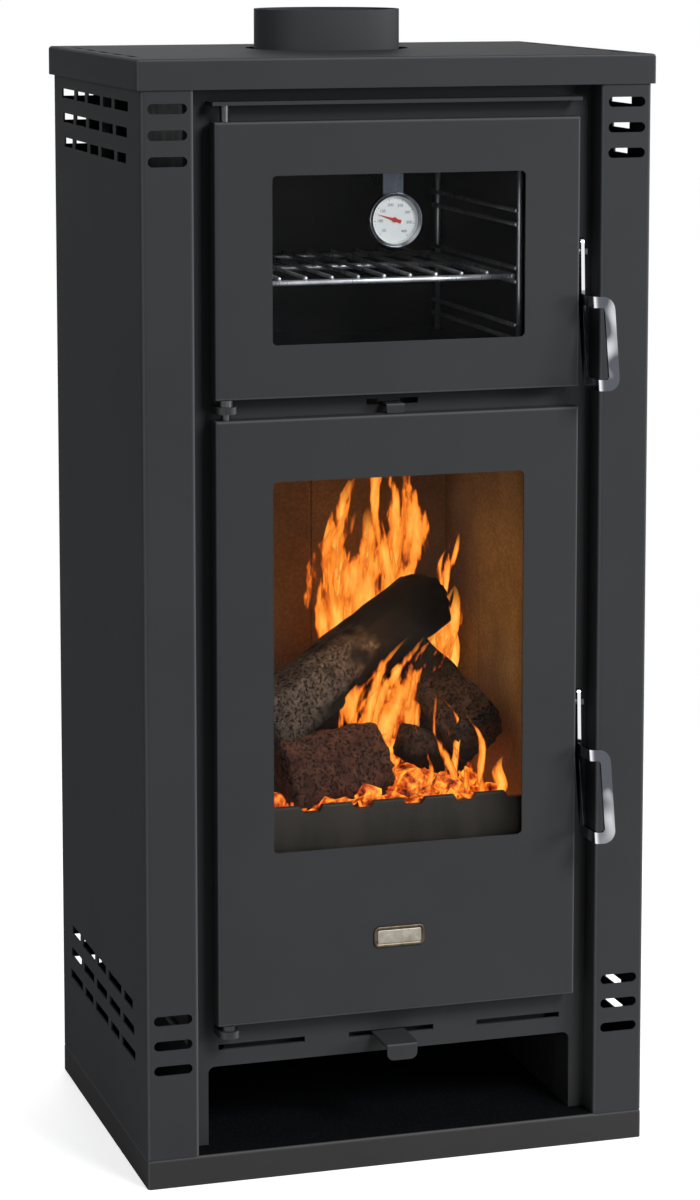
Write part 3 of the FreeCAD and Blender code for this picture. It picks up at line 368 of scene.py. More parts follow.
def chrome(name, dark, light, smooth, worn, reflection_shares, metallic):
    """Polished plating with rubbing marks of smooth to worn roughness; its dark tone and the light patches
    that a noise lays between the given shares are painted reflections.
    """
    material, tree, shader = start_material(name, Metallic=metallic)
    rub = spots(tree, 350.0, 6.0, (1, 1, 0.08))
    # Painted reflections: a dark tone with light patches
    feed(tree, shader.inputs["Base Color"],
         tint(tree, spread(tree, spots(tree, 48.0, 1.0, (1, 1, 0.6)), 0.0, 1.0, *reflection_shares), dark, light))
    feed(tree, shader.inputs["Roughness"], spread(tree, rub, smooth, worn))
    bumps(tree, shader, rub, chrome_relief, 0.25)
    return material


def lever_painted_highlights(material):
    """Painted highlights on a lever's bends and along the strip above its grip loop."""
    tree = material.node_tree
    colour = tree.nodes["Principled BSDF"].inputs["Base Color"]
    height = add(tree, "SeparateXYZ", {0: add(tree, "TexCoord").outputs["Generated"]}).outputs["Z"]
    strip = spread(tree, height, 0.0, 1.0, *lever_strip_shares)
    bright = reckon(tree, "MAXIMUM", strip, fold_share(tree))
    # Painted highlight: near white on the bends and on the strip
    feed(tree, colour, over(tree, bright, colour.links[0].from_socket, (0.86, 0.86, 0.88)))
    return material


def brushed_steel(name, dark, light, stretch):
    """Plain or zinc-plated steel, brushed along the stretch with the smallest share."""
    material, tree, shader = start_material(name, Metallic=1.0)
    lines = spots(tree, 900.0, 4.0, stretch)
    feed(tree, shader.inputs["Base Color"], tint(tree, spread(tree, lines, 0.0, 1.0), dark, light))
    feed(tree, shader.inputs["Roughness"], spread(tree, spots(tree, 70.0, 4.0), 0.24, 0.42))
    bumps(tree, shader, lines, steel_relief, 0.4)
    return material


def cast_iron():
    """Sand-cast iron with soot and pale ash on it."""
    material, tree, shader = start_material("cast_iron", Specular_IOR_Level=0.3)
    sand = spots(tree, 450.0, 5.0)
    soot = tint(tree, spread(tree, sand, 0.0, 1.0), (0.045, 0.042, 0.040), (0.095, 0.088, 0.082))
    ash = spread(tree, spots(tree, 35.0, 5.0), 0.0, 0.6, 0.52, 0.72)
    feed(tree, shader.inputs["Base Color"], over(tree, ash, soot, (0.20, 0.185, 0.17)))
    feed(tree, shader.inputs["Roughness"], spread(tree, sand, 0.6, 0.85))
    bumps(tree, shader, sand, iron_relief, 0.6)
    return material


def firebrick():
    """Pressed vermiculite: brown flakes, pores, and soot in clouds."""
    material, tree, shader = start_material("firebrick", Specular_IOR_Level=0.1)
    flakes = cells(tree, 330.0)
    body = tint(tree, spread(tree, flakes, 0.0, 1.0, 0.1, 0.6), (0.235, 0.185, 0.105), (0.175, 0.135, 0.075))
    soot = spread(tree, spots(tree, 14.0, 5.0), 0.0, 0.6, 0.40, 0.72)
    feed(tree, shader.inputs["Base Color"], over(tree, soot, body, (0.05, 0.04, 0.028)))
    feed(tree, shader.inputs["Roughness"], spread(tree, flakes, 0.7, 0.95, 0.0, 0.8))
    bumps(tree, shader, flakes, brick_relief, 0.4)
    return material


def clear_glass(name, passed, haze):
    """A pane: clear, with a mirror at a slant and a thin uneven haze."""
    material = bpy.data.materials.new(name)
    material.use_nodes = True
    tree = material.node_tree
    tree.nodes.remove(tree.nodes["Principled BSDF"])
    clear = add(tree, "BsdfTransparent", {"Color": (*passed, 1.0)})
    smear = spread(tree, spots(tree, 22.0, 6.0), 0.0, haze, 0.45, 0.8)
    film = add(tree, "BsdfDiffuse", {"Color": (0.22, 0.19, 0.16, 1.0)})
    body = add(tree, "MixShader", {0: smear, 1: clear.outputs[0], 2: film.outputs[0]})
    mirror = add(tree, "BsdfGlossy", {"Color": (1.0, 1.0, 1.0, 1.0), "Roughness": 0.02})
    slant = add(tree, "Fresnel", {"IOR": 1.10}).outputs[0]
    pane = add(tree, "MixShader", {0: slant, 1: body.outputs[0], 2: mirror.outputs[0]})
    feed(tree, tree.nodes["Material Output"].inputs["Surface"], pane.outputs[0])
    return material


def glass_rope(name, dark, light, scale):
    """Woven glass yarn, greyed by heat."""
    material, tree, shader = start_material(name, Specular_IOR_Level=0.1, Sheen_Weight=0.3)
    yarn = cells(tree, scale)
    colour = tint(tree, spread(tree, yarn, 0.0, 1.0, 0.1, 0.7), light, dark)
    stain = spread(tree, spots(tree, 45.0, 4.0), 0.0, 0.5, 0.5, 0.75)
    feed(tree, shader.inputs["Base Color"], over(tree, stain, colour, dark))
    feed(tree, shader.inputs["Roughness"], spread(tree, yarn, 0.8, 1.0, 0.0, 0.8))
    bumps(tree, shader, yarn, yarn_relief, 0.7)
    return material


def aged_brass(name, dark, light, smooth, worn):
    """Brass that has gone brown, rubbed brighter in places."""
    material, tree, shader = start_material(name, Metallic=0.9)
    patina = spots(tree, 170.0, 5.0)
    feed(tree, shader.inputs["Base Color"], tint(tree, spread(tree, patina, 0.0, 1.0), dark, light))
    feed(tree, shader.inputs["Roughness"], spread(tree, patina, smooth, worn))
    bumps(tree, shader, spots(tree, 900.0, 4.0), brass_relief, 0.4)
    return material


def enamel(name, first, second, smooth, worn):
    """Smooth baked enamel with a faint unevenness of tone."""
    material, tree, shader = start_material(name, Specular_IOR_Level=0.4)
    tone = spread(tree, spots(tree, 160.0), 0.0, 1.0)
    feed(tree, shader.inputs["Base Color"], tint(tree, tone, first, second))
    feed(tree, shader.inputs["Roughness"], spread(tree, spots(tree, 300.0), smooth, worn))
    return material


def charred_wood(name, deep, pale, char, glow):
    """Burning log: speckled bark that turns to black char, with a glow where it is hottest."""
    material, tree, shader = start_material(name, Specular_IOR_Level=0.12)
    burn = add(tree, "Attribute", attribute_name="burn").outputs["Fac"]
    heat = add(tree, "Attribute", attribute_name="heat").outputs["Fac"]
    grit = spots(tree, 360.0, 5.0)
    patches = spots(tree, 45.0, 6.0)
    mottled = tint(tree, spread(tree, spots(tree, 110.0, 6.0), 0.0, 1.0, 0.35, 0.65), deep, pale)
    body = over(tree, spread(tree, grit, 0.95, 0.0, 0.42, 0.52), mottled, char)
    burnt = spread(tree, reckon(tree, "ADD", burn, patches), 0.0, 1.0, 0.85, 1.15)
    feed(tree, shader.inputs["Base Color"], over(tree, burnt, body, char))
    feed(tree, shader.inputs["Roughness"], spread(tree, grit, 0.75, 0.95))
    vein = spread(tree, cells(tree, 130.0, "DISTANCE_TO_EDGE"), 1.0, 0.15, 0.0, 0.12)
    hot = product(tree, spread(tree, patches, 0.0, glow, 0.42, 0.66), product(tree, heat, vein))
    feed(tree, shader.inputs["Emission Color"],
         tint(tree, spread(tree, hot, 0.0, 1.0, 0.2, 1.2), (1.0, 0.13, 0.012), (1.0, 0.40, 0.06)))
    feed(tree, shader.inputs["Emission Strength"], hot)
    bumps(tree, shader, grit, bark_relief, 0.8)
    return material


def ember():
    """Glowing charcoal: yellow where it is hottest, dark and ashy where it has cooled."""
    material, tree, shader = start_material("ember", Specular_IOR_Level=0.1)
    heat = spots(tree, 95.0, 8.0)
    crust = spread(tree, spots(tree, 260.0, 5.0), 0.0, 1.0)
    feed(tree, shader.inputs["Base Color"],
         tint(tree, crust, (0.012, 0.008, 0.006), (0.050, 0.036, 0.030)))
    feed(tree, shader.inputs["Roughness"], spread(tree, heat, 0.8, 1.0))
    feed(tree, shader.inputs["Emission Color"],
         tint(tree, spread(tree, heat, 0.0, 1.0, 0.44, 0.66), (1.0, 0.09, 0.004), (1.0, 0.44, 0.045)))
    feed(tree, shader.inputs["Emission Strength"], spread(tree, heat, 0.0, 1.5, 0.36, 0.60))
    bumps(tree, shader, spots(tree, 300.0, 5.0), ember_relief, 0.7)
    return material


def flame():
    """Flame sheets: torn tongues, yellow inside, orange and then red at their edges and tips."""
    material = bpy.data.materials.new("flame")
    material.use_nodes = True
    tree = material.node_tree
    tree.nodes.remove(tree.nodes["Principled BSDF"])
    along = add(tree, "Attribute", attribute_name="along").outputs["Fac"]
    across = add(tree, "Attribute", attribute_name="across").outputs["Fac"]
    streak = spread(tree, spots(tree, 62.0, 6.0, (1, 1, 0.26)), -0.95, 0.85, 0.28, 0.72)
    inside = product(tree, spread(tree, across, 1.0, 0.0, 0.0, 1.0), spread(tree, along, 1.0, 0.35, 0.2, 1.0))
    depth = reckon(tree, "ADD", inside, streak)
    rim = tint(tree, spread(tree, depth, 0.0, 1.0, 0.15, 0.5), (0.50, 0.045, 0.003), (0.98, 0.26, 0.022))
    colour = over(tree, spread(tree, depth, 0.0, 1.0, 0.5, 1.2), rim, (1.0, 0.58, 0.10))
    light = add(tree, "Emission", {"Color": colour, "Strength": 1.15})
    ends = product(tree, spread(tree, along, 0.0, 1.0, 0.0, 0.10), spread(tree, along, 1.0, 0.0, 0.75, 1.0))
    cover = product(tree, spread(tree, depth, 0.0, 1.0, 0.12, 0.42), ends)
    clear = add(tree, "BsdfTransparent")
    mix = add(tree, "MixShader", {0: cover, 1: clear.outputs[0], 2: light.outputs[0]})
    feed(tree, tree.nodes["Material Output"].inputs["Surface"], mix.outputs[0])
    return material


# The last colour of each coat is the painted highlight along its folds
coat = powder_coat("charcoal_coat", (0.050, 0.0515, 0.054), (0.055, 0.0565, 0.059), (0.115, 0.118, 0.123))
tray_coat = shade_and_dust_top(
    powder_coat("tray_coat", (0.052, 0.0505, 0.0505), (0.057, 0.0555, 0.0555), (0.118, 0.116, 0.116)))
# The collar's coat is lighter than the charcoal coat, a painted highlight over the whole collar
collar_coat_lit = powder_coat("collar_coat_lit", (0.062, 0.064, 0.067), (0.068, 0.070, 0.073), (0.085, 0.088, 0.092))
black = heat_black()
inner_black = oven_enamel()
# In each chrome below, the dark tone and the light patches are painted reflections
chrome_painted_reflections = ((0.085, 0.092, 0.108), (0.66, 0.67, 0.70), 0.05, 0.12, (0.50, 0.74), 1.0)
plating = chrome("chrome_painted_reflections", *chrome_painted_reflections)
lever_plating = lever_painted_highlights(chrome("lever_chrome", *chrome_painted_reflections))
wire_plating = chrome("wire_chrome", (0.50, 0.51, 0.53), (0.78, 0.79, 0.80), 0.24, 0.36, (0.4, 0.7), 0.62)
pin_steel = brushed_steel("pin_steel", (0.05, 0.05, 0.052), (0.09, 0.09, 0.094), (1, 1, 0.1))
zinc = brushed_steel("zinc_steel", (0.36, 0.36, 0.35), (0.56, 0.55, 0.53), (1, 1, 0.1))
strip_steel = brushed_steel("strip_steel", (0.045, 0.05, 0.06), (0.08, 0.085, 0.10), (1, 1, 0.05))
iron = cast_iron()
brick = firebrick()
oven_pane = clear_glass("oven_glass", (0.95, 0.96, 0.97), 0.012)
fire_pane = clear_glass("fire_glass", (0.96, 0.94, 0.91), 0.04)
lens = clear_glass("lens_glass", (0.98, 0.98, 0.98), 0.02)
rope = glass_rope("seal_rope", (0.030, 0.030, 0.031), (0.11, 0.108, 0.104), 900.0)
tape = glass_rope("glass_tape", (0.05, 0.05, 0.05), (0.16, 0.155, 0.15), 1200.0)
bronze = aged_brass("bronze", (0.060, 0.048, 0.036), (0.15, 0.115, 0.080), 0.30, 0.39)
pale_brass = aged_brass("pale_brass", (0.30, 0.27, 0.22), (0.47, 0.43, 0.37), 0.34, 0.442)
dial_white = enamel("dial_white", (0.84, 0.86, 0.84), (0.88, 0.90, 0.88), 0.2975, 0.4025)
ink = enamel("dial_ink", (0.012, 0.012, 0.012), (0.03, 0.03, 0.03), 0.425, 0.575)
needle_red = enamel("needle_red", (0.52, 0.02, 0.015), (0.66, 0.035, 0.025), 0.2975, 0.4025)

finishes = {
    tray_coat: ("base_tray",),
    coat: ("left_side_panel", "right_side_panel", "top_lid", "rear_shield", "front_frame",
           "top_hinge_rail", "hinge_lugs", "primary_air_slider", "secondary_air_slider",
           "oven_door_panel", "fire_door_panel"),
    black: ("store_liner", "left_body_wall", "right_body_wall", "rear_body_wall", "body_top_plate",
            "ash_floor", "air_valve_seat", "secondary_air_duct", "oven_glass_retainer",
            "fire_glass_retainer", "log_retainer"),
    collar_coat_lit: ("flue_collar",),
    inner_black: ("oven_box",),
    zinc: ("casing_screws", "oven_retainer_screws", "fire_retainer_screws", "ash_pan"),
    pin_steel: ("oven_latch_pivot", "fire_latch_pivot", "oven_hinge_pins", "fire_hinge_pins"),
    strip_steel: ("thermometer_hanger",),
    lever_plating: ("oven_latch_lever", "fire_latch_lever"),
    iron: ("grate", "hearth_bed"),
    brick: ("left_firebricks", "right_firebricks", "rear_firebricks", "baffle_plate"),
    oven_pane: ("oven_door_glass",),
    fire_pane: ("fire_door_glass",),
    lens: ("thermometer_lens",),
    dial_white: ("thermometer_dial",),
    needle_red: ("thermometer_needle",),
}
for finish, names in finishes.items():
    for name in names:
        nodes[name].data.materials.clear()
        nodes[name].data.materials.append(finish)


def piece(name, mesh, material, body, smooth=True):
    """A new visible piece with its material, that rides on a body."""
    mesh.materials.append(material)
    if smooth:
        mesh.shade_smooth()
    made = bpy.data.objects.new(name, mesh)
    bpy.context.scene.collection.objects.link(made)
    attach(made, body)
    return made


def mesh_from(name, build):
    """A mesh that a function builds in an empty bmesh."""
    work = bmesh.new()
    build(work)
    bmesh.ops.recalc_face_normals(work, faces=work.faces)
    mesh = bpy.data.meshes.new(name)
    work.to_mesh(mesh)
    work.free()
    return mesh


def add_rings(work, rings, closed_path, capped=True):
    """Skin a row of closed rings of points; a closed path joins the last ring to the first."""
    loops = [[work.verts.new(point) for point in ring] for ring in rings]
    count = len(loops)
    for index in range(count if closed_path else count - 1):
        first = loops[index]
        second = loops[(index + 1) % count]
        for step in range(len(first)):
            following = (step + 1) % len(first)
            work.faces.new((first[step], first[following], second[following], second[step]))
    if capped and not closed_path:
        work.faces.new(list(reversed(loops[0])))
        work.faces.new(loops[-1])
    return loops


def add_wire(work, start, end, radius):
    """A straight round wire with softly rounded ends."""
    run = (end - start).normalized()
    side = run.orthogonal().normalized()
    other = run.cross(side)
    rings = []
    tip = run * radius * wire_tip_share
    for place, scale in ((start, wire_end_share), (start + tip, 1), (end - tip, 1), (end, wire_end_share)):
        ring = []
        for step in range(wire_sides):
            turn = math.tau * step / wire_sides
            ring.append(place + (side * math.cos(turn) + other * math.sin(turn)) * radius * scale)
        rings.append(ring)
    add_rings(work, rings, False)


# Oven rack and its side ladders, in round wire
def build_rack(work):
    """The rack: two side wires, three cross wires and a row of thinner bars on top."""
    low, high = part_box("oven_rack")
    x = high.x - rack_wire_radius
    z = low.z + rack_wire_radius
    bar_z = high.z - rack_bar_radius
    y0 = low.y + rack_wire_radius
    y1 = high.y - rack_wire_radius
    for side in (-x, x):
        add_wire(work, Vector((side, low.y, z)), Vector((side, high.y, z)), rack_wire_radius)
    for y in (y0, y0 + (y1 - y0) * rack_cross_share, y1):
        add_wire(work, Vector((-x, y, z)), Vector((x, y, z)), rack_wire_radius)
    for column in range(rack_bars):
        bar_x = -x + 2 * x * (column + 1) / (rack_bars + 1)
        add_wire(work, Vector((bar_x, low.y, bar_z)), Vector((bar_x, high.y, bar_z)), rack_bar_radius)


def build_ladder(node):
    """A function that builds one side ladder inside its node's box."""
    low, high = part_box(node)
    left = low.x < 0
    post_x = low.x + post_radius if left else high.x - post_radius
    rung_x = high.x - rung_radius if left else low.x + rung_radius

    def build(work):
        for y in (low.y + post_radius, high.y - post_radius):
            add_wire(work, Vector((post_x, y, low.z)), Vector((post_x, y, high.z)), post_radius)
        for pair in range(rung_pairs):
            level = low.z + rung_first_rise + rung_pitch * pair
            for z in (level, level + rung_pair_gap):
                add_wire(work, Vector((rung_x, low.y, z)), Vector((rung_x, high.y, z)), rung_radius)
    return build


rack = piece("oven_rack_wires", mesh_from("oven_rack_wires", build_rack), wire_plating, "rack")
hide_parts("oven_rack")
for node in ("oven_left_rail", "oven_right_rail"):
    ladder = piece(node + "_wires", mesh_from(node, build_ladder(node)), wire_plating, "stove")
    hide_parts(node)


def rounded_path(half_x, z0, z1, corner, step):
    """Points and outward directions along an upright rectangle with round corners."""
    middles = ((half_x - corner, z1 - corner, 0), (-half_x + corner, z1 - corner, 90),
               (-half_x + corner, z0 + corner, 180), (half_x - corner, z0 + corner, 270))
    ends = []
    for x, z, first in middles:
        turns = max(path_corner_steps, round(corner * math.pi / 2 / step))
        for index in range(turns + 1):
            angle = math.radians(first + 90 * index / turns)
            out = Vector((math.cos(angle), 0, math.sin(angle)))
            ends.append((Vector((x, 0, z)) + out * corner, out))
    path = []
    for (start, out), (end, following) in zip(ends, ends[1:] + ends[:1]):
        count = max(1, round((end - start).length / step))
        for index in range(count):
            path.append((start.lerp(end, index / count), out.lerp(following, index / count).normalized()))
    return path


# Rope seals of the doors, braided and a little flattened, and the tapes round the glass
def build_rope(node):
    """A function that builds the braided rope in the space of its node."""
    low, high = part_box(node)
    half_depth = (high.y - low.y) / 2
    inset = rope_width / 2
    path = rounded_path(high.x - inset, low.z + inset, high.z - inset, rope_corner, rope_step)

    def build(work):
        rings = []
        turns = 2 * round(len(path) * rope_step / rope_braid_length)
        for index, (place, out) in enumerate(path):
            along = math.tau * turns * index / len(path)
            ring = []
            for step in range(rope_around):
                angle = math.tau * step / rope_around
                strand = angle * rope_strands
                braid = math.sin(along + strand) * math.sin(along - strand)
                size = 1 - rope_braid_share * (1 - braid) / 2
                offset = out * math.cos(angle) * rope_width / 2 + Vector((0, math.sin(angle) * half_depth, 0))
                ring.append(place + Vector((0, low.y + half_depth, 0)) + offset * size)
            rings.append(ring)
        add_rings(work, rings, True)
    return build


def build_tape(node):
    """A function that builds the flat tape in the space of its node, slightly wavy as woven tape is."""
    low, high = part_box(node)
    half_depth = (high.y - low.y) / 2
    inset = tape_width / 2
    path = rounded_path(high.x - inset, low.z + inset, high.z - inset, tape_corner, tape_step)

    def build(work):
        rings = []
        for index, (place, out) in enumerate(path):
            narrow = tape_width / 2 - tape_wave * (1 + math.sin(index * tape_wave_turn))
            ring = []
            for step in range(tape_around):
                angle = math.tau * step / tape_around
                wide = math.copysign(abs(math.cos(angle)) ** tape_round_share, math.cos(angle))
                deep = math.copysign(abs(math.sin(angle)) ** tape_round_share, math.sin(angle))
                offset = out * wide * narrow + Vector((0, deep * half_depth, 0))
                ring.append(place + Vector((0, low.y + half_depth, 0)) + offset)
            rings.append(ring)
        add_rings(work, rings, True)
    return build


for door in ("oven", "fire"):
    seal_node = door + "_door_seal"
    seal = piece(door + "_rope", mesh_from(seal_node, build_rope(seal_node)), rope, door + "_door")
    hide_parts(seal_node)
    tape_node = door + "_glass_gasket"
    strip = piece(door + "_glass_tape", mesh_from(tape_node, build_tape(tape_node)), tape,
                  door + "_door")
    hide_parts(tape_node)


# Bare plate: a dark rim round a paler panel
plate_low, plate_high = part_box("badge_plate")


def build_plate(insets, height_shares):
    """A function that builds rings of a plate with round corners, inset and raised step by step."""
    middle = (plate_low + plate_high) / 2
    half = (plate_high - plate_low) / 2

    def build(work):
        rings = []
        for inset, share in zip(insets, height_shares):
            corner = plate_corner - inset
            y = plate_high.y - half.y * 2 * share
            ring = []
            for quarter, (right, up) in enumerate(((1, 1), (-1, 1), (-1, -1), (1, -1))):
                for step in range(plate_corner_steps + 1):
                    angle = math.pi / 2 * (quarter + step / plate_corner_steps)
                    x = right * (half.x - plate_corner) + corner * math.cos(angle)
                    z = up * (half.z - plate_corner) + corner * math.sin(angle)
                    ring.append(Vector((middle.x + x, y, middle.z + z)))
            rings.append(ring)
        add_rings(work, rings, False)
    return build


plate = piece("plain_plate", mesh_from("plain_plate", build_plate(rim_insets, rim_height_shares)), bronze,
              "fire_door")
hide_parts("badge_plate")
piece("plate_panel", mesh_from("plate_panel", build_plate(panel_insets, panel_height_shares)), pale_brass,
      "fire_door")


# Thermometer case with a beaded edge, and the bright ring inside it
def build_turned(section, capped):
    """A function that turns a section about the thermometer's axis."""
    low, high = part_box("thermometer_case")
    middle = (low + high) / 2

    def build(work):
        rings = []
        for radius, depth in section:
            ring = []
            for step in range(turned_steps):
                angle = math.tau * step / turned_steps
                ring.append(Vector((middle.x + radius * math.cos(angle), low.y + depth,
                                    middle.z + radius * math.sin(angle))))
            rings.append(ring)
        add_rings(work, rings, False, capped)
    return build


case = piece("thermometer_cup", mesh_from("thermometer_cup", build_turned(case_section, True)), plating,
             "oven_door")
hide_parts("thermometer_case")
piece("dial_ring", mesh_from("dial_ring", build_turned(dial_ring_section, False)), dial_white,
      "oven_door")

# Ticks and plain numbers of the dial
dial_low, dial_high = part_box("thermometer_dial")
dial_face = dial_low.y
dial_x = (dial_low.x + dial_high.x) / 2
dial_z = (dial_low.z + dial_high.z) / 2


def dial_point(radius, angle, lift=0.0):
    """A point over the dial's face."""
    return Vector((dial_x + radius * math.cos(angle), dial_face - lift, dial_z + radius * math.sin(angle)))


def add_tick(work, angle, inner, outer, width):
    """One tick mark, as a thin slab on the dial."""
    side = Vector((-math.sin(angle), 0, math.cos(angle))) * width / 2
    rings = []
    for lift in (0.0, ink_height):
        start = dial_point(inner, angle, lift)
        end = dial_point(outer, angle, lift)
        rings.append([start - side, end - side, end + side, start + side])
    add_rings(work, rings, False)


def build_ticks(work):
    """Long ticks at the numbers, and short ones between them."""
    for index in range((dial_number_count - 1) * dial_minor_ticks + 1):
        angle = math.radians(dial_start_deg + dial_step_deg * index / dial_minor_ticks)
        main = index % dial_minor_ticks == 0
        add_tick(work, angle, dial_tick_inner if main else dial_minor_inner, dial_tick_outer,
                 dial_tick_width if main else dial_minor_width)


def number_mesh(text, place):
    """A number as a mesh that stands on the dial, centred on a place."""
    curve = bpy.data.curves.new("number", "FONT")
    curve.body = text
    curve.size = dial_number_size
    curve.align_x = "CENTER"
    curve.align_y = "CENTER"
    curve.extrude = ink_height / 2
    holder = bpy.data.objects.new("number", curve)
    bpy.context.scene.collection.objects.link(holder)
    bpy.context.view_layer.update()
    mesh = bpy.data.meshes.new_from_object(holder.evaluated_get(bpy.context.evaluated_depsgraph_get()))
    bpy.data.objects.remove(holder)
    mesh.transform(Matrix.Translation(place) @ Matrix.Rotation(math.pi / 2, 4, "X"))
    return mesh


def build_numbers(work):
    """The numbers round the dial."""
    for index in range(dial_number_count):
        angle = math.radians(dial_start_deg + dial_step_deg * index)
        text = str(dial_number_first + dial_number_step * index)
        work.from_mesh(number_mesh(text, dial_point(dial_number_radius, angle, ink_height / 2)))


piece("dial_ticks", mesh_from("dial_ticks", build_ticks), ink, "oven_door", smooth=False)
piece("dial_numbers", mesh_from("dial_numbers", build_numbers), ink, "oven_door", smooth=False)

# Fire: logs on a bed of embers, and flames among them
chance = random.Random(fire_seed)
chamber_half = -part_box("left_firebricks")[1].x
chamber_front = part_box("log_retainer")[1].y
chamber_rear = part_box("rear_firebricks")[0].y
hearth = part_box("hearth_bed")[1].z

# Bark: deep and pale colour, colour of its char, strength of its glow
barks = {
    "grey_bark": ((0.0550, 0.0451, 0.0407), (0.150, 0.123, 0.111), (0.006, 0.005, 0.005), 1.6),
    "dark_bark": ((0.03025, 0.0209, 0.0176), (0.0825, 0.057, 0.048), (0.005, 0.004, 0.004), 1.8),
    "red_bark": ((0.0396, 0.0176, 0.0132), (0.108, 0.048, 0.036), (0.010, 0.006, 0.005), 1.8),
}
fuels = {name: charred_wood(name, *looks) for name, looks in barks.items()}
fuels["ember"] = ember()


def between(ends, share):
    """A value at a share of the way between two ends."""
    return ends[0] + (ends[1] - ends[0]) * share


def build_log(start, end, radii, char_shares, heat_shares, seed):
    """A function that builds a split log with ridged bark and rough ends."""
    run = end - start
    axis = run.normalized()
    side = axis.orthogonal().normalized()
    other = axis.cross(side)

    def build(work):
        burn_layer = work.verts.layers.float.new("burn")
        heat_layer = work.verts.layers.float.new("heat")
        rings = []
        burns = []
        heats = []
        for index in range(log_rings + 1):
            share = index / log_rings
            end_round = 1 - log_end_share * max(0.0, 1 - min(share, 1 - share) / log_end_run_share)
            end_rough = log_end_rough if share in (0, 1) else 0.0
            ring = []
            for step in range(log_around):
                angle = math.tau * step / log_around
                way = side * math.cos(angle) + other * math.sin(angle)
                broad_place = way * log_broad_around + axis * share * log_broad_along
                broad = noise.noise((broad_place + Vector((seed, seed * 2, 0))) * log_broad_scale)
                ridge_place = way * log_ridge_around + axis * share * log_ridge_along
                ridge = noise.noise(ridge_place + Vector((0, seed, 0)))
                crack_place = way * log_crack_around + axis * share * log_crack_along
                crack = noise.noise(crack_place + Vector((seed, 0, log_crack_offset)))
                lean = (angle + seed) % (math.tau / log_flats) - math.pi / log_flats
                flat = math.cos(math.pi / log_flats) / math.cos(lean)
                size = 1 + log_broad_share * broad + log_ridge_share * ridge + log_crack_share * crack
                size += log_flat_share * (flat - log_flat_middle_share)
                radius = between(radii, share) * size * end_round
                ring.append(start + run * share + way * radius + axis * end_rough * ridge)
                under = max(0.0, -way.z)
                burns.append(between(char_shares, share) + under * log_under_dark_share)
                heats.append(between(heat_shares, share) + under * log_under_heat_share)
            rings.append(ring)
        made = [vert for loop in add_rings(work, rings, False) for vert in loop]
        for vert, burn, heat in zip(made, burns, heats):
            vert[burn_layer] = burn
            vert[heat_layer] = heat
    return build


for index, (name, (start, end, radii, fuel, char_shares, heat_shares)) in enumerate(logs.items()):
    build = build_log(Vector(start), Vector(end), radii, char_shares, heat_shares, index * log_seed_step)
    piece(name, mesh_from(name, build), fuels[fuel], "stove")


def ember_height(x, y):
    """Height of the ember bed over the hearth, lower towards its edges."""
    side = 1 - (abs(x) / chamber_half) ** ember_edge_power * ember_edge_share
    place = Vector((x, y, 0)) * ember_waves_per_metre
    rough = noise.fractal(place, ember_octave_share, ember_octave_step, ember_octaves)
    return max(ember_least, ember_rise * side + ember_wave * rough)


def build_embers(work):
    """The bed as an uneven sheet, with rough chunks scattered on it."""
    half = chamber_half - ember_clear
    y0 = chamber_front + ember_clear
    y1 = chamber_rear - ember_clear
    loops = []
    for row in range(ember_rows + 1):
        y = y0 + (y1 - y0) * row / ember_rows
        line = []
        for column in range(ember_columns + 1):
            x = -half + 2 * half * column / ember_columns
            line.append(work.verts.new((x, y, hearth + ember_height(x, y))))
        loops.append(line)
    for first, second in zip(loops, loops[1:]):
        for column in range(ember_columns):
            work.faces.new((first[column], first[column + 1], second[column + 1], second[column]))
    for index in range(ember_chunks):
        x = chance.uniform(-half, half) * chunk_spread_share
        y = chance.uniform(y0, y1) * chunk_spread_share
        size = chance.uniform(*chunk_sizes)
        made = bmesh.ops.create_icosphere(work, subdivisions=chunk_subdivisions, radius=size)["verts"]
        place = Vector((x, y, hearth + ember_height(x, y) + size * chunk_lift_share))
        for vert in made:
            wave = noise.noise(vert.co / size * chunk_waves + Vector((index, 0, 0)))
            rough = 1 + chunk_rough_share * wave
            vert.co = place + vert.co * rough


piece("ember_bed", mesh_from("ember_bed", build_embers), fuels["ember"], "stove")


def build_flames(work):
    """Thin swaying sheets that taper to a tip; along and across say where a point lies in its sheet."""
    along_layer = work.verts.layers.float.new("along")
    across_layer = work.verts.layers.float.new("across")
    for count, first_foot, last_foot, heights, widths, lean in flame_groups:
        for index in range(count):
            foot = Vector(first_foot).lerp(Vector(last_foot), (index + chance.random()) / count)
            foot.y += chance.uniform(-flame_stray, flame_stray)
            height = chance.uniform(*heights)
            width = chance.uniform(*widths)
            yaw = chance.uniform(-flame_yaw, flame_yaw)
            sway = chance.uniform(*flame_sway_shares)
            phase = chance.uniform(0, math.tau)
            side = Vector((math.cos(yaw), math.sin(yaw), 0))
            lines = []
            for row in range(flame_rows + 1):
                t = row / flame_rows
                turned = math.sin(phase + t * flame_swing_turn) - math.sin(phase)
                swing = flame_swing_share * height * sway * turned * t
                fullness = math.sin(math.pi * min(1, flame_foot_share + (1 - flame_foot_share) * t))
                half = width * fullness ** flame_round_share * (1 - t * flame_taper_share)
                middle = foot + Vector((swing + lean * height * t * t, flame_back_share * swing, height * t))
                line = []
                for column in range(flame_columns):
                    u = 2 * column / (flame_columns - 1) - 1
                    bow = Vector((0, flame_bow_share * half * u * u, 0))
                    vert = work.verts.new(middle + side * half * u + bow)
                    vert[along_layer] = t
                    vert[across_layer] = abs(u)
                    line.append(vert)
                lines.append(line)
            for first, second in zip(lines, lines[1:]):
                for column in range(flame_columns - 1):
                    work.faces.new((first[column], first[column + 1], second[column + 1], second[column]))


piece("flames", mesh_from("flames", build_flames), flame(), "stove")


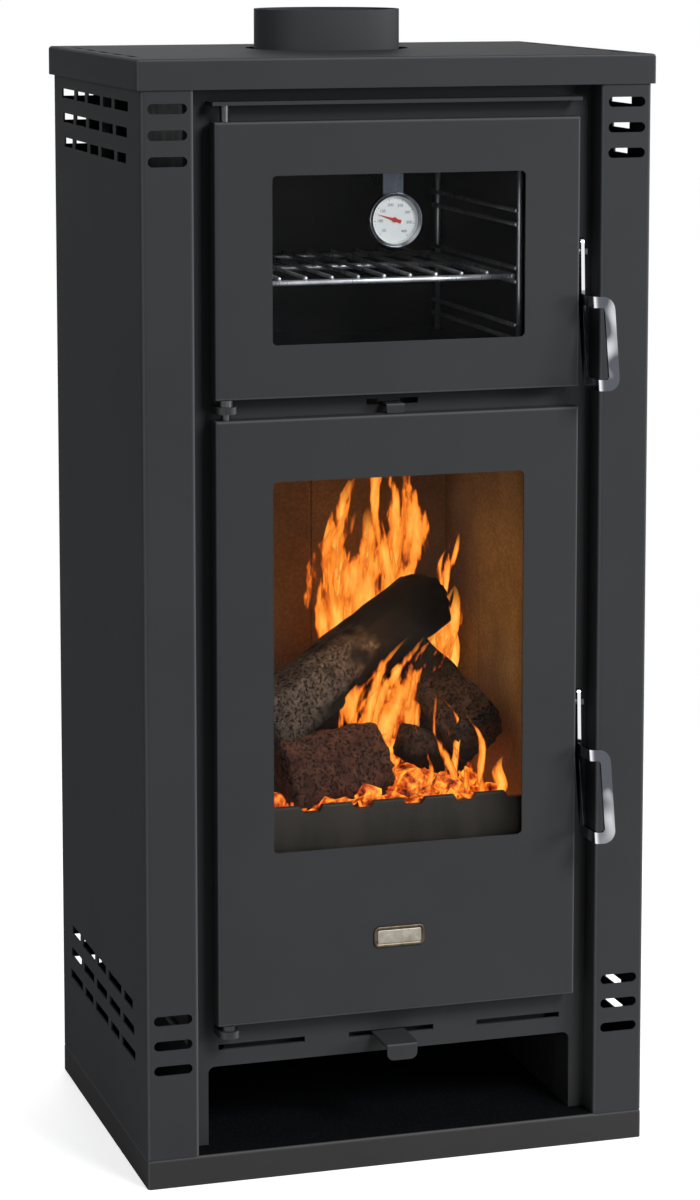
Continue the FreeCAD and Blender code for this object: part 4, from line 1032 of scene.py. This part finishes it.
# Floor, light and camera
def pale_floor():
    """Pale floor that fades out far from the stove; the camera sees it a little lighter than it is lit."""
    material, tree, shader = start_material("pale_floor", Specular_IOR_Level=0.1, Roughness=0.8)
    feed(tree, shader.inputs["Base Color"],
         tint(tree, spread(tree, spots(tree, 3.0), 0.0, 1.0), (0.90, 0.90, 0.90), (0.93, 0.93, 0.93)))
    shader.inputs["Emission Color"].default_value = (1.0, 1.0, 1.0, 1.0)
    direct = add(tree, "LightPath").outputs["Is Camera Ray"]
    feed(tree, shader.inputs["Emission Strength"], product(tree, direct, floor_camera_share))
    place = add(tree, "TexCoord").outputs["Object"]
    far = add(tree, "VectorMath", {0: place}, operation="LENGTH").outputs["Value"]
    clear = add(tree, "BsdfTransparent")
    gone = spread(tree, far, 0.0, 1.0, floor_fade_start, floor_fade_end)
    mix = add(tree, "MixShader", {0: gone, 1: shader.outputs[0], 2: clear.outputs[0]})
    feed(tree, tree.nodes["Material Output"].inputs["Surface"], mix.outputs[0])
    return material


floor_mesh = bpy.data.meshes.new("floor")
floor_mesh.from_pydata([(-floor_half, -floor_half, 0), (floor_half, -floor_half, 0),
                        (floor_half, floor_half, 0), (-floor_half, floor_half, 0)], [], [(0, 1, 2, 3)])
floor_mesh.materials.append(pale_floor())
floor = bpy.data.objects.new("floor", floor_mesh)
bpy.context.scene.collection.objects.link(floor)

world = bpy.data.worlds.new("studio")
bpy.context.scene.world = world
world.use_nodes = True
sky = world.node_tree
rays = add(sky, "LightPath").outputs
seen = reckon(sky, "MAXIMUM", rays["Is Camera Ray"], rays["Is Glossy Ray"])
seen = reckon(sky, "MAXIMUM", seen, rays["Is Transmission Ray"])
feed(sky, sky.nodes["Background"].inputs["Color"], (1.0, 1.0, 1.0, 1.0))
feed(sky, sky.nodes["Background"].inputs["Strength"], spread(sky, seen, sky_light_share, 1.0, 0.0, 1.0))

# Soft square lamps that face the stove, and the glow of the fire
for name, (place, power, size) in lamps.items():
    light = bpy.data.lights.new(name, "AREA")
    light.energy = power
    light.size = size
    holder = bpy.data.objects.new(name, light)
    holder.location = place
    holder.rotation_euler = (Vector(stove_middle) - Vector(place)).to_track_quat("-Z", "Y").to_euler()
    bpy.context.scene.collection.objects.link(holder)

glow = bpy.data.lights.new("fire_glow", "POINT")
glow.energy = glow_power
glow.color = glow_colour
glow.shadow_soft_size = glow_size
glow_holder = bpy.data.objects.new("fire_glow", glow)
glow_holder.location = glow_place
glow_holder.visible_glossy = False
glow_holder.visible_transmission = False
bpy.context.scene.collection.objects.link(glow_holder)

camera_data = bpy.data.cameras.new("camera")
camera_data.sensor_width = sensor_width
camera_data.lens = camera_focal_px / image_height * sensor_width
camera_data.shift_x = (image_width / 2 - camera_centre_px[0]) / image_height
camera_data.shift_y = (camera_centre_px[1] - image_height / 2) / image_height
camera = bpy.data.objects.new("camera", camera_data)
yaw = math.radians(camera_yaw_deg)
pitch = math.radians(camera_pitch_deg)
camera.location = camera_place
camera.rotation_euler = (math.pi / 2 - pitch, 0, -yaw)
bpy.context.scene.collection.objects.link(camera)
bpy.context.scene.camera = camera
bpy.context.scene.view_settings.view_transform = "Standard"
